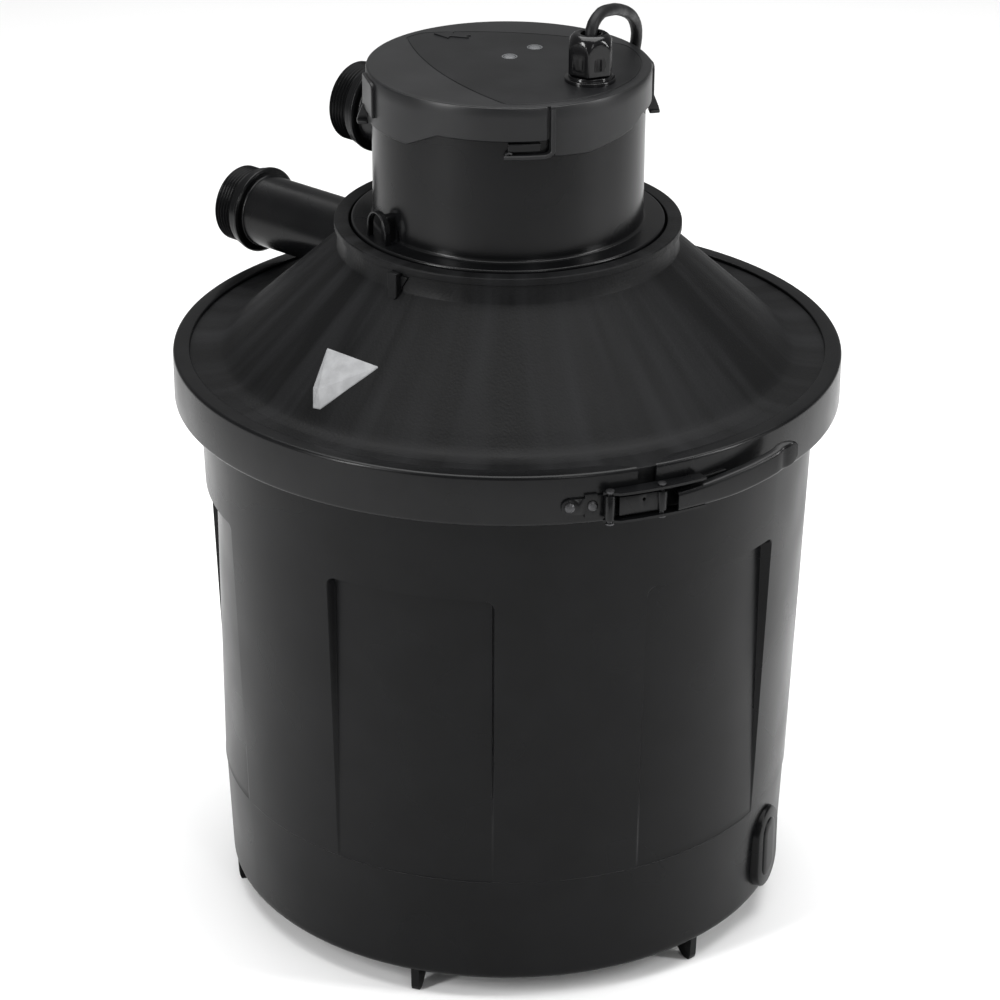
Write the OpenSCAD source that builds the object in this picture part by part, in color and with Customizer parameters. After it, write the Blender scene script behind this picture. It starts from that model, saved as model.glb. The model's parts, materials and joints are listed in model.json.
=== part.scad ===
// Pressurised pond filter: a tank with foam rings, a clamped lid, a UV head and a bayonet cap.
// Millimetres, +Z up. The origin is on the tank's axis at the floor, and -Y is the front.

/* [Tank] */
// Height of the feet and of the centre pad under the tank
foot_h = 14; // [8:1:25]
// Height of the tank from its underside to the top of its flange
tank_h = 324; // [280:1:400]
// Outer radius of the tank at its underside
tank_r = 172.7; // [150:0.1:185]
// How much wider the tank is at its shoulder than at its underside
tank_flare = 11.2; // [6:0.1:16]
// Thickness of the tank's walls
tank_wall = 4; // [3:0.1:6]
// Height of the plain band round the tank's foot, from its underside
skirt_h = 69; // [40:1:100]
// Height of the recessed panels' top edge, from the underside
panel_top = 256; // [200:1:270]
// Number of recessed panels, and of feet
panel_count = 6; // [4:1:8]
// Share of the circle that one panel covers, in degrees
panel_angle = 31.5; // [20:0.5:38]
// Outer radius of the flanges of tank and lid
flange_r = 195; // [190:0.5:196]
// Thickness of the tank's flange
tank_flange_h = 10.8; // [6:0.1:16]

/* [Lid] */
// Thickness of the lid's flange
lid_flange_h = 12.3; // [8:0.1:16]
// Thickness of the seal between the flanges
seal_h = 2.5; // [1.5:0.1:4]
// Radius of the cone's foot
cone_foot_r = 170; // [150:1:176]
// Radius of the cone's top
cone_top_r = 100.5; // [95:0.5:101]
// Height of the cone above the lid's flange
cone_h = 64.2; // [50:0.1:90]
// Outer radius of the collar's lip
collar_r = 102.2; // [101.5:0.1:106]
// Inner radius of the collar
collar_bore_r = 93.5; // [92.6:0.1:95]
// Height of the collar above the cone
collar_h = 15.4; // [12:0.1:20]

/* [Clamp] */
// Outer radius of the clamp band
band_r = 199; // [198.2:0.1:199.4]
// Thickness of the band's metal
band_wall = 2; // [1:0.1:2.4]
// Width of the band's two lips
lip_w = 10; // [7:0.5:12]
// Angle at the middle of the gap between the band's ends
gap_mid = -66.5; // [-75:0.5:-60]
// Width of that gap, in degrees
gap_angle = 8; // [5:0.5:12]

/* [Ports] */
// Direction of both ports, in degrees
port_dir = 139.5; // [120:0.5:160]
// Radius of the ports' bores
port_bore_r = 19; // [14:0.5:20]
// Outer radius of the ports' pipes
port_pipe_r = 22.3; // [21.5:0.1:23]
// Outer radius of the ports' male threads
thread_r = 23.9; // [23.4:0.1:25]
// Length of the threads
thread_len = 15; // [12:0.5:20]
// Distance of the inlet's mouth from the tank's axis
inlet_reach = 223; // [205:1:260]
// Distance of the outlet's mouth from the tank's axis
outlet_reach = 122.4; // [114:0.1:140]

/* [UV head] */
// Outer radius of the UV housing
head_r = 79.3; // [76:0.1:80]
// Height of the UV housing above its base disc
head_h = 83.5; // [78:0.5:110]
// Outer radius of the base disc
disc_r = 92.2; // [88:0.1:93]
// Thickness of the base disc
disc_h = 12.5; // [8:0.5:14]
// Outer radius of the quartz tube
quartz_r = 11.5; // [10:0.1:14]
// Length of the quartz tube
quartz_len = 290; // [200:1:330]

/* [Cap] */
// Thickness of the skirt's wall
cap_wall = 2.8; // [2:0.1:3]
// Height of the cap's skirt
cap_h = 20; // [16:0.5:26]
// Thickness of the cap's top
cap_top_h = 3; // [2:0.1:5]
// Depth of the skirt's lobe at the right below its plain edge
lobe_deep = 11; // [6:0.5:24]
// Distance from the head's outer wall in to the cable gland's axis
gland_in = 23.26; // [22:0.01:40]
// Direction of the cable gland from the axis
gland_dir = -34.82; // [-60:0.01:20]

/* [Filter media] */
// Number of foam rings
foam_count = 5; // [3:1:6]
// Height of one foam ring
foam_h = 50; // [30:1:60]
// Gap between the foam rings and the tank's wall at its foot
foam_gap = 10.7; // [3:0.1:30]
// Outer radius of the centre pipe
pipe_r = 25; // [20:0.5:28]

/* [Cable] */
// Diameter of the mains cable
cord_d = 7; // [6:0.1:8]
// Mean radius of the coiled cable
coil_r = 56; // [50:1:60]

/* [Hidden] */
$fn = 96;

// Clearances: between flat faces, between turning rings, and of a pin in its hole
gap = 0.2;
ring_gap = 0.5;
pin_gap = 0.05;

// Levels of the tank
z_tank = foot_h;
z_flange = z_tank + tank_h;
z_seal = z_flange;
z_lid = z_seal + seal_h;
z_cone = z_lid + lid_flange_h;
z_collar = z_cone + cone_h;
z_rim = z_collar + collar_h;
shoulder_r = tank_r + tank_flare;
panel_r = tank_r + 3.2;
bore_r = panel_r - tank_wall;
foam_r = tank_r - tank_wall - foam_gap;

// Levels of the UV head and the cap
collar_floor_h = 6;
z_collar_floor = z_rim - 13.4;
z_disc = z_collar_floor + 2;
z_head = z_disc + disc_h;
z_head_top = z_head + head_h;
z_cap_top = z_head_top + 6 + cap_top_h;
z_skirt = z_cap_top - cap_h;
cap_in_r = head_r + ring_gap;
cap_r = cap_in_r + cap_wall;
head_wall = 4;
z_inlet = z_cone + 34.6;
z_outlet = z_head + 43.5;

// Levels inside the tank
floor_h = 4;
z_grid = z_tank + floor_h + 12;
grid_h = 4;
z_foam = z_grid + grid_h;
z_top_grid = z_foam + foam_count * foam_h;
pipe_wall = 2.5;
z_pipe_top = z_collar_floor - 7;

// Clamp and latch: the band's section, and the pins' places
z_band = z_flange - tank_flange_h - gap - band_wall;
z_band_top = z_cone + gap + band_wall;
band_in_r = band_r - band_wall;
lip_r = band_r - lip_w;
pin_r = 1.5;
pin_place_r = band_r + 5.6;
pivot_at = gap_mid - 7.5;
link_at = gap_mid + 1.1;
lever_bottom = z_band + 2.4;
lever_top = z_band_top - 9.6;
sheet = 1.5;
plate_r = band_r + 1.6;

// A ring sector, and a ring, both about the tank's axis
module sector(r0, r1, z0, z1, a0, a1) {
    rotate([0, 0, a0])
        rotate_extrude(angle = a1 - a0)
            translate([r0, z0]) square([r1 - r0, z1 - z0]);
}

module ring(r0, r1, z0, z1) {
    rotate_extrude() translate([r0, z0]) square([r1 - r0, z1 - z0]);
}

// Places children at a radius and angle, with +X pointing outward
module at(r, a, z = 0) {
    rotate([0, 0, a]) translate([r, 0, z]) children();
}

// ---- Tank ----

module tank_outside() {
    rotate_extrude($fn = 180) polygon([
        [0, z_tank], [tank_r - 3, z_tank], [tank_r, z_tank + 3],
        [panel_r - 0.4, z_tank + skirt_h], [panel_r + 0.2, z_tank + skirt_h + 0.6],
        [shoulder_r, z_flange - 24], [shoulder_r, z_flange - tank_flange_h],
        [flange_r, z_flange - tank_flange_h], [flange_r, z_flange], [0, z_flange]
    ]);
}

// Pockets behind the raised fields keep the wall even
module field_pocket(angle) {
    pocket_half = (360 / panel_count - panel_angle) / 2 - 1.4;
    rotate([0, 0, angle - pocket_half])
        rotate_extrude(angle = 2 * pocket_half) polygon([
            [bore_r - 1, z_tank + skirt_h + 40], [panel_r + 1.6 - tank_wall, z_tank + skirt_h + 40],
            [shoulder_r - tank_wall, z_tank + panel_top + 10], [bore_r - 1, z_tank + panel_top + 10]
        ]);
}

module tank_foot(angle) {
    rotate([0, 0, angle])
        rotate([90, 0, 0])
            translate([0, 0, -2.6])
                linear_extrude(5.2) polygon([
                    [tank_r - 24, z_tank + 1], [tank_r - 5, z_tank + 1], [tank_r - 1, z_tank + 4],
                    [tank_r - 1.4, 3], [tank_r - 2.2, 0], [tank_r - 6, 0], [tank_r - 8, 1.6]
                ]);
}

// An upright oval, its flat side outward, on the tank's wall
module oval_pad(angle, half_w, half_h, z, r) {
    rotate([0, 0, angle])
        translate([0, 0, z])
            rotate([0, 90, 0])
                linear_extrude(r) union() {
                    translate([-(half_h - half_w), -half_w]) square([2 * (half_h - half_w), 2 * half_w]);
                    translate([half_h - half_w, 0]) circle(half_w);
                    translate([half_w - half_h, 0]) circle(half_w);
                }
}

module tank_shell() {
    color("#2b2c2e") {
        difference() {
            union() {
                difference() {
                    tank_outside();
                    for (i = [0 : panel_count - 1])
                        sector(panel_r, shoulder_r + 5, z_tank + skirt_h + 1, z_tank + panel_top,
                            -48 - i * 360 / panel_count - panel_angle / 2,
                            -48 - i * 360 / panel_count + panel_angle / 2);
                }
                oval_pad(-24, 17, 27, z_tank + 33, panel_r + 2.3);
                oval_pad(-24, 10, 20, z_tank + 33, panel_r + 3.6);
            }
            rotate_extrude($fn = 180) polygon([
                [0, z_tank + floor_h], [tank_r - tank_wall, z_tank + floor_h],
                [bore_r, z_tank + skirt_h], [bore_r, z_flange + 1], [0, z_flange + 1]
            ]);
            for (i = [0 : panel_count - 1]) field_pocket(-48 - (i + 0.5) * 360 / panel_count);
        }
        for (i = [0 : panel_count - 1]) tank_foot(-48 - i * 360 / panel_count);
        ring(14, 18, 0, z_tank + 1);
    }
}

module flange_seal() {
    color("#111111") ring(176, 191, z_seal, z_lid);
}

module spoked_grid(outer_r, inner_r, z, h) {
    for (r = [inner_r + 4, 62, 92, 122, outer_r])
        ring(r - 4, r, z, z + h);
    for (a = [0 : 30 : 330])
        rotate([0, 0, a]) translate([inner_r + 1, -2, z]) cube([outer_r - inner_r - 2, 4, h]);
}

module bottom_grid() {
    color("#3a3b3d") {
        spoked_grid(tank_r - 10, pipe_r + 0.3, z_grid, grid_h);
        ring(tank_r - 26, tank_r - 23, z_tank + floor_h, z_grid + 1);
    }
}

module centre_pipe() {
    color("#4a4c4f") difference() {
        union() {
            ring(pipe_r - pipe_wall, pipe_r, z_tank + floor_h, z_pipe_top);
            ring(pipe_r - pipe_wall, pipe_r + 9, z_tank + floor_h, z_tank + floor_h + 3);
        }
        for (i = [0 : foam_count - 1])
            for (a = [0, 60, 120])
                rotate([0, 0, a])
                    translate([-40, -2, z_foam + i * foam_h + 8]) cube([80, 4, foam_h - 16]);
    }
}

module foam_ring(i) {
    color(i % 2 == 0 ? "#2f5f8a" : "#3c3f42")
        ring(pipe_r + 0.4, foam_r, z_foam + i * foam_h, z_foam + (i + 1) * foam_h);
}

module foam_ring_1() { foam_ring(0); }
module foam_ring_2() { foam_ring(1); }
module foam_ring_3() { foam_ring(2); }
module foam_ring_4() { foam_ring(3); }
module foam_ring_5() { foam_ring(4); }

module top_grid() {
    color("#3a3b3d") spoked_grid(foam_r + 2, pipe_r + 0.3, z_top_grid, grid_h + 1);
}

module pipe_nut() {
    color("#56585b") difference() {
        union() {
            translate([0, 0, z_top_grid + grid_h + 1]) cylinder(r = pipe_r + 12, h = 10);
            for (a = [0 : 60 : 300])
                at(pipe_r + 12, a, z_top_grid + grid_h + 1) cylinder(r = 4, h = 10, $fn = 32);
        }
        translate([0, 0, z_top_grid]) cylinder(r = pipe_r, h = 20);
    }
}

// ---- Clamp band and latch ----

module latch_hole(a, z) {
    at(band_in_r - 5, a, z) rotate([0, 90, 0]) cylinder(r = 1.7, h = 20, $fn = 32);
}

z_rivet = (lever_bottom + lever_top) / 2;
bracket_mid = gap_mid - 8.5;
bracket_rivet_at = [gap_mid - 13.6, gap_mid - 9.9];
catch_rivet_at = [gap_mid + 8.5, gap_mid + 11.5];

module clamp_band() {
    color("#1b1b1c") difference() {
        rotate([0, 0, gap_mid + gap_angle / 2])
            rotate_extrude(angle = 360 - gap_angle, $fn = 180) polygon([
                [lip_r, z_band_top - band_wall], [lip_r, z_band_top], [band_r + 0.4, z_band_top],
                [band_r + 1, z_band_top - 0.6], [band_r + 1, z_band_top - 2.4],
                [band_r, z_band_top - 3], [band_r, z_band], [lip_r, z_band],
                [lip_r, z_band + band_wall], [band_in_r, z_band + band_wall],
                [band_in_r, z_band_top - band_wall]
            ]);
        for (a = concat(bracket_rivet_at, catch_rivet_at)) latch_hole(a, z_rivet);
    }
}

module rivet(a) {
    at(0, a, z_rivet) rotate([0, 90, 0]) rotate_extrude($fn = 32) polygon([
        [0, band_in_r - 1], [2.6, band_in_r - 1], [2.6, band_in_r], [1.6, band_in_r],
        [1.6, plate_r], [3, plate_r], [2.8, plate_r + 0.9], [1.8, plate_r + 1.6],
        [0, plate_r + 1.8]
    ]);
}

// The knuckle between the lever's side plates holds the pivot pin
module bracket_knuckle() {
    low = lever_bottom + sheet + gap;
    high = lever_top - sheet - gap;
    sector(plate_r - 0.4, pin_place_r - 1, low, high, pivot_at - 0.6, pivot_at - 0.1);
    at(pin_place_r, pivot_at, low) cylinder(r = 2.9, h = high - low, $fn = 48);
}

// The bracket's flat outline, seen from outside: a rounded tab, a tall part and a plate
module bracket_outline() {
    tab = band_r * sin(bracket_mid - gap_mid + 13.6);
    tall_from = -band_r * sin(bracket_mid - gap_mid + 11.2);
    tall_to = band_r * sin(pivot_at - 1.7 - bracket_mid);
    plate_to = band_r * sin(gap_mid - 2 - bracket_mid);
    tall = 7;
    plate = 6;
    translate([-tab, 0]) circle(4.7, $fn = 48);
    translate([-tab, -4.7]) square([tab + tall_from + 1, 9.4]);
    translate([tall_from, -tall]) square([tall_to - tall_from, 2 * tall]);
    translate([tall_to - 1, -plate]) square([plate_to - tall_to + 1, 2 * plate]);
}

module latch_bracket() {
    color("#1e1e1f") difference() {
        union() {
            intersection() {
                ring(band_r, plate_r, z_band - 9, z_band_top + 9);
                at(0, bracket_mid, z_rivet)
                    rotate([90, 0, 90]) linear_extrude(band_r + 20) bracket_outline();
            }
            sector(plate_r - 0.4, plate_r + 2, z_rivet - 5, z_rivet + 5, gap_mid - 3.4, gap_mid - 2.8);
            bracket_knuckle();
        }
        at(pin_place_r, pivot_at, 0) cylinder(r = pin_r + pin_gap, h = 900, $fn = 32);
        for (a = bracket_rivet_at) latch_hole(a, z_rivet);
    }
}

module bracket_rivets() {
    color("#2c2c2d") for (a = bracket_rivet_at) rivet(a);
}

module catch_bracket() {
    color("#1e1e1f") difference() {
        sector(band_r, plate_r, z_rivet - 6, z_rivet + 6, gap_mid + 5, gap_mid + 14);
        for (a = catch_rivet_at) latch_hole(a, z_rivet);
    }
}

module catch_rivets() {
    color("#2c2c2d") for (a = catch_rivet_at) rivet(a);
}

lever_in_r = band_r + 2.2;
lever_out_r = band_r + 9.5;
handle_from = gap_mid + 3.6;
handle_to = gap_mid + 26.5;

module lever_flange(z) {
    at(pin_place_r, pivot_at, z) cylinder(r = 3.7, h = sheet, $fn = 48);
    sector(lever_in_r, lever_out_r - 0.6, z, z + sheet, pivot_at, handle_to - 1);
}

module latch_lever() {
    color("#151516") difference() {
        union() {
            lever_flange(lever_bottom);
            lever_flange(lever_top - sheet);
            sector(lever_out_r - sheet, lever_out_r, lever_bottom, lever_top, handle_from, handle_to);
            sector(lever_out_r - sheet - 0.3, lever_out_r + 0.5, lever_bottom - 1, lever_top + 1,
                handle_to - 5, handle_to + 0.3);
        }
        for (a = [pivot_at, link_at])
            at(pin_place_r, a, 0) cylinder(r = pin_r, h = 900, $fn = 32);
    }
}

// A straight pin with a flat head at each end
module latch_pin(a, z0, z1) {
    at(pin_place_r, a, z0) cylinder(r = pin_r, h = z1 - z0, $fn = 32);
    at(pin_place_r, a, z0 - 1) cylinder(r = 2.4, h = 1, $fn = 32);
    at(pin_place_r, a, z1) cylinder(r = 2.4, h = 1, $fn = 32);
}

module pivot_pin() {
    color("#3a3a3b") latch_pin(pivot_at, lever_bottom - gap, lever_top + gap);
}

module link_pin() {
    color("#3a3a3b") latch_pin(link_at, lever_bottom - gap, lever_top + gap);
}

module draw_link() {
    color("#1b1b1c") difference() {
        union() {
            at(pin_place_r, link_at, z_rivet - 5.5) cylinder(r = 3, h = 11, $fn = 48);
            sector(pin_place_r - 0.8, pin_place_r + 0.8, z_rivet - 5.5, z_rivet + 5.5,
                gap_mid - 6, link_at);
            sector(plate_r + 0.5, pin_place_r, z_rivet - 4, z_rivet + 4, gap_mid - 5, gap_mid - 4.2);
        }
        at(pin_place_r, link_at, 0) cylinder(r = pin_r + pin_gap, h = 900, $fn = 32);
        at(pin_place_r - 8, gap_mid - 2, z_rivet + 2.5) rotate([0, 90, 0]) cylinder(r = 1, h = 16, $fn = 24);
    }
}

// ---- Ports ----

// A port along +X from s0 to its mouth at s1: pipe, shoulder and thread
module port_outside(s0, s1) {
    pitch = 2.3;
    teeth = floor((thread_len - 1) / pitch);
    start = s1 - 1 - teeth * pitch;
    profile = concat(
        [[0, s0], [port_pipe_r, s0], [port_pipe_r, s1 - thread_len - 8],
            [thread_r + 3.1, s1 - thread_len - 8], [thread_r + 3.1, s1 - thread_len - 5],
            [thread_r + 1.6, s1 - thread_len - 3], [thread_r + 1.6, s1 - thread_len]],
        [[thread_r - 1.5, s1 - thread_len]],
        [for (i = [0 : teeth - 1], k = [0 : 2])
            [k == 1 ? thread_r : thread_r - 1.4, start + (i + [0, 0.5, 0.98][k]) * pitch]],
        [[thread_r - 1.5, s1], [0, s1]]
    );
    rotate([0, 90, 0]) rotate_extrude() polygon(profile);
}

module port_bore(s0, s1) {
    translate([s0, 0, 0]) rotate([0, 90, 0]) cylinder(r = port_bore_r, h = s1 - s0);
}

inlet_in = 104;
outlet_in = head_r - head_wall - 5;

// ---- Lid ----

module lid_profile() {
    polygon([
        [flange_r, z_lid], [flange_r, z_cone], [cone_foot_r + 4, z_cone],
        [cone_foot_r, z_cone + 1.2], [cone_foot_r - 4, z_cone + 4.6],
        [cone_top_r, z_collar], [cone_top_r, z_rim - 4.4],
        [collar_r, z_rim - 4.4], [collar_r, z_rim - 0.8], [collar_r - 0.8, z_rim],
        [collar_bore_r, z_rim], [collar_bore_r, z_collar_floor], [70, z_collar_floor],
        [70, z_collar_floor - collar_floor_h], [cone_top_r - 5, z_collar_floor - collar_floor_h],
        [cone_foot_r - 8, z_lid + 6], [cone_foot_r - 8, z_lid]
    ]);
}

module lid_cone() {
    color("#313234") difference() {
        union() {
            rotate_extrude($fn = 180) lid_profile();
            rotate([0, 0, port_dir]) translate([0, 0, z_inlet]) port_outside(inlet_in, inlet_reach);
            sector(collar_r - 2, collar_r + 3.5, z_rim - 22, z_rim - 4, -131, -127.5);
        }
        rotate([0, 0, port_dir]) translate([0, 0, z_inlet]) port_bore(inlet_in - 6, inlet_reach + 1);
    }
}

// A point on the cone, at radius r and angle a, standing off by h
function on_cone(r, a, h) =
    [r * cos(a), r * sin(a), z_cone + 4.6 + (cone_foot_r - 4 - r) * (cone_h - 4.6) / (cone_foot_r - 4 - cone_top_r) + h];

// A low arrowhead on the cone that shows which way the head turns
module direction_marker() {
    corners = [[134.4, -139.5], [134.4, -122.6], [160, -132.5], [151.7, -136.5]];
    low = [for (c = corners) on_cone(c[0], c[1], -6)];
    high = [for (c = corners) on_cone(c[0], c[1], 2.2)];
    ridge = on_cone(147, -135.5, 5.5);
    color("#b9bbbd") difference() {
        polyhedron(
            points = concat(low, high, [ridge]),
            faces = [
                [3, 2, 1, 0], [0, 1, 5, 4], [1, 2, 6, 5], [2, 3, 7, 6], [3, 0, 4, 7],
                [4, 5, 8], [5, 6, 8], [6, 7, 8], [7, 4, 8]
            ]
        );
        rotate_extrude($fn = 180) polygon([
            [0, z_lid], [flange_r, z_lid], [flange_r, z_cone], [cone_foot_r + 4, z_cone],
            [cone_foot_r, z_cone + 1.2], [cone_foot_r - 4, z_cone + 4.6],
            [cone_top_r, z_collar], [0, z_collar]
        ]);
    }
}

// ---- UV head ----

module head_seal() {
    color("#101010") ring(74, 86, z_collar_floor + 0.1, z_disc);
}

hook_at = [-73.2, 106.8];
hook_w = 18.5;

tab_at = -149;

// A round-topped slab of radius r and thickness t, standing on edge outside the wall
module tab_arch(r, t, z) {
    at(head_r + 7.2 - t / 2, tab_at, z) {
        translate([0, -r, 0]) cube([t, 2 * r, 6.5]);
        translate([0, 0, 6.5]) rotate([0, 90, 0]) cylinder(r = r, h = t, $fn = 48);
    }
}

module uv_housing() {
    color("#37383a") difference() {
        union() {
            ring(pipe_r + 0.6, disc_r, z_disc, z_disc + 5);
            ring(head_r - head_wall, disc_r, z_disc, z_head);
            ring(head_r - head_wall, head_r, z_disc, z_head_top);
            ring(66, 69.4, z_disc - 14, z_disc + 1);
            ring(pipe_r + 0.6, pipe_r + 4, z_disc - 30, z_disc + 1);
            rotate([0, 0, port_dir]) translate([0, 0, z_outlet]) port_outside(outlet_in, outlet_reach);
            // Lugs that the cap's hooks close under
            for (a = hook_at)
                sector(head_r - 1, cap_r - 0.4, z_skirt - 6.2, z_skirt - 1.4, a - 17, a - 4);
            // Release tab: an arch, and a block that ties it to the wall
            difference() {
                tab_arch(11, 4, z_head - 0.5);
                tab_arch(9.4, 6, z_head - 1);
            }
            at(head_r - 2, tab_at + 2.4, z_head - 0.5) translate([0, -3.2, 0]) cube([8.5, 6.4, 16.5]);
        }
        rotate([0, 0, port_dir]) translate([0, 0, z_outlet]) port_bore(outlet_in - 2, outlet_reach + 1);
    }
}

// ---- Cap ----

// A lobe of the skirt, bounded below by one arc across the angles a0 to a1
module cap_lobe(a0, a1, depth) {
    half = cap_r * sin((a1 - a0) / 2);
    arc_r = (half * half + depth * depth) / (2 * depth);
    at(0, (a0 + a1) / 2, z_skirt - depth + arc_r)
        rotate([0, 90, 0]) cylinder(r = arc_r, h = 2 * cap_r);
}

// The cap's top and skirt, cut off below along its lobes
module cap_cup() {
    z_low = z_skirt - lobe_deep - 2;
    difference() {
        rotate_extrude() polygon([
            [0, z_cap_top - cap_top_h], [0, z_cap_top], [cap_r - 2, z_cap_top],
            [cap_r - 0.6, z_cap_top - 0.6], [cap_r, z_cap_top - 2], [cap_r, z_low],
            [cap_in_r, z_low], [cap_in_r, z_cap_top - cap_top_h]
        ]);
        difference() {
            translate([0, 0, z_low - 1]) cylinder(r = cap_r + 5, h = z_skirt - z_low + 1);
            cap_lobe(-72, -16, lobe_deep);
            sector(cap_in_r - 2, cap_r + 6, z_skirt - 0.84 * lobe_deep, z_skirt + 2, -72, -46);
            cap_lobe(-166, -117, 9);
        }
    }
}

gland_x = (head_r - gland_in) * cos(gland_dir);
gland_y = (head_r - gland_in) * sin(gland_dir);
lens_at = [[0.4, 10], [15, 28]];
lens_r = 4.6;
board_z = z_head_top - 22;
board_out = head_r - 19.3;
board_in = quartz_r + 10.5;
board_screw_x = 8 - board_out;
board_screw_y = [20, -20];

module cap_shell() {
    color("#2f3032") difference() {
        union() {
            cap_cup();
            ring(head_r - head_wall - 4, head_r - head_wall - ring_gap, z_head_top - 12,
                z_cap_top - cap_top_h + 0.1);
            ring(quartz_r + 5, quartz_r + 8.5, board_z - 8, z_cap_top - cap_top_h + 0.1);
            // Bayonet hooks: an upright rib and a foot that passes under the lug
            for (a = hook_at) {
                sector(cap_in_r + 0.1, cap_r + 1.6, z_skirt - 10.4, z_cap_top - 3, a, a + 1.2);
                sector(cap_in_r + 0.1, cap_r + 0.8, z_skirt - 10.3, z_skirt - 7.4, a - hook_w, a + 1);
            }
            // Grips: an upright plate with a fin at its foot
            for (a = [-175, 4]) {
                sector(cap_r - 0.5, cap_r + 2, z_skirt - 3.5, z_cap_top - 3, a, a + 18);
                at(cap_r - 1, a + 2, z_skirt - 12) translate([0, -1.2, 0]) cube([7, 2.4, 11]);
            }
            // Posts for the circuit board
            for (y = board_screw_y)
                translate([board_screw_x, y, board_z]) cylinder(r = 4, h = z_cap_top - cap_top_h - board_z + 0.1, $fn = 32);
        }
        translate([gland_x, gland_y, z_cap_top - 20]) cylinder(r = 6.1, h = 30, $fn = 48);
        for (p = lens_at)
            translate([p[0], p[1], z_cap_top - 20]) cylinder(r = 3, h = 30, $fn = 32);
        for (y = board_screw_y)
            translate([board_screw_x, y, board_z - 1]) cylinder(r = 1.5, h = 12, $fn = 24);
    }
}

// Leaf-shaped panel on the cap: three arcs cut from one disc
module panel_outline() {
    intersection() {
        circle(cap_r - 6.6);
        translate([184, 88]) circle(247.5, $fn = 360);
        translate([-20, -112]) circle(171, $fn = 360);
    }
}

module cap_panel() {
    color("#3b3c3e") difference() {
        union() {
            translate([0, 0, z_cap_top]) linear_extrude(0.8) panel_outline();
            translate([-33, 50, z_cap_top]) rotate([0, 0, 165]) linear_extrude(1.4) polygon([
                [-11, -3], [1, -3], [1, -7.5], [12, 0], [1, 7.5], [1, 3], [-11, 3]
            ]);
        }
        translate([gland_x, gland_y, z_cap_top - 1]) cylinder(r = 14.2, h = 4);
        for (p = lens_at) translate([p[0], p[1], z_cap_top - 1]) cylinder(r = lens_r, h = 4);
    }
}

module cap_seal() {
    color("#101010") ring(head_r - head_wall, head_r, z_head_top + 0.1, z_cap_top - cap_top_h);
}

module status_lens(p) {
    translate([p[0], p[1], z_cap_top]) cylinder(r = lens_r, h = 1.4);
    translate([p[0], p[1], z_cap_top - 8]) cylinder(r = 3, h = 8.1, $fn = 32);
}

module status_lens_1() { color("#26282a") status_lens(lens_at[0]); }
module status_lens_2() { color("#26282a") status_lens(lens_at[1]); }

// ---- Cable gland ----

z_gland = z_cap_top + 4;
z_nut = z_gland + 3.5;
z_nut_top = z_nut + 20.5;

module at_gland(z) {
    translate([gland_x, gland_y, z]) children();
}

module gland_washer() {
    color("#1a1a1b") at_gland(z_cap_top) difference() {
        cylinder(r1 = 13.8, r2 = 13.2, h = 1.6);
        translate([0, 0, -1]) cylinder(r = 6.1, h = 5, $fn = 48);
    }
}

module gland_body() {
    color("#1a1a1b") at_gland(0) difference() {
        union() {
            translate([0, 0, z_cap_top + 1.6]) cylinder(r = 12.2, h = 2.4);
            translate([0, 0, z_cap_top - 9]) cylinder(r = 6, h = 12, $fn = 48);
            translate([0, 0, z_gland]) cylinder(r = 9, h = 15);
            translate([0, 0, z_cap_top - cap_top_h - 5]) cylinder(r = 9.5, h = 4.8, $fn = 6);
        }
        translate([0, 0, z_cap_top - 12]) cylinder(r = cord_d / 2 + 0.6, h = 60, $fn = 48);
        translate([0, 0, z_gland + 5]) cylinder(r = 6.6, h = 30, $fn = 48);
    }
}

module gland_seal() {
    color("#0f0f10") at_gland(0) difference() {
        translate([0, 0, z_gland + 5]) cylinder(r = 6.6, h = 9.8, $fn = 48);
        translate([0, 0, z_gland]) cylinder(r = cord_d / 2, h = 30, $fn = 48);
    }
}

module gland_nut() {
    color("#18181a") at_gland(0) difference() {
        intersection() {
            translate([0, 0, z_nut]) rotate([0, 0, 25]) cylinder(r = 13.6, h = z_nut_top - z_nut, $fn = 6);
            rotate_extrude($fn = 64) polygon([
                [0, z_nut], [13.7, z_nut], [13.7, z_nut + 11.5], [12.6, z_nut + 14],
                [10.6, z_nut + 17.4], [8.2, z_nut + 20], [7.4, z_nut_top], [0, z_nut_top]
            ]);
        }
        translate([0, 0, z_nut - 1]) cylinder(r = 9.05, h = 12.6, $fn = 64);
        translate([0, 0, z_nut]) cylinder(r = 5.6, h = 40, $fn = 48);
    }
}

// ---- Lamp ----

z_quartz = z_cap_top - cap_top_h - 6 - quartz_len;

module quartz_tube() {
    color([0.85, 0.92, 0.95, 0.4]) rotate_extrude() polygon([
        [0, z_quartz], [quartz_r * 0.6, z_quartz + 1.4], [quartz_r * 0.9, z_quartz + 5],
        [quartz_r, z_quartz + 11], [quartz_r, z_quartz + quartz_len],
        [quartz_r - 1.5, z_quartz + quartz_len], [quartz_r - 1.5, z_quartz + 12],
        [quartz_r * 0.6, z_quartz + 4], [0, z_quartz + 2.6]
    ]);
}

module quartz_nut() {
    color("#2a2b2c") difference() {
        translate([0, 0, board_z - 16]) cylinder(r = quartz_r + 12, h = 14);
        translate([0, 0, board_z - 20]) cylinder(r = quartz_r + 0.3, h = 40);
        translate([0, 0, board_z - 12]) cylinder(r = quartz_r + 8.6, h = 40);
    }
}

module quartz_seal() {
    color("#101010") ring(quartz_r, quartz_r + 8.4, board_z - 12, board_z - 8);
}

module lamp_socket() {
    color("#e4e2da") difference() {
        translate([0, 0, board_z - 6]) cylinder(r = quartz_r - 1.8, h = 22);
        translate([0, 0, board_z - 7]) cylinder(r = 3, h = 16, $fn = 32);
    }
}

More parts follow.
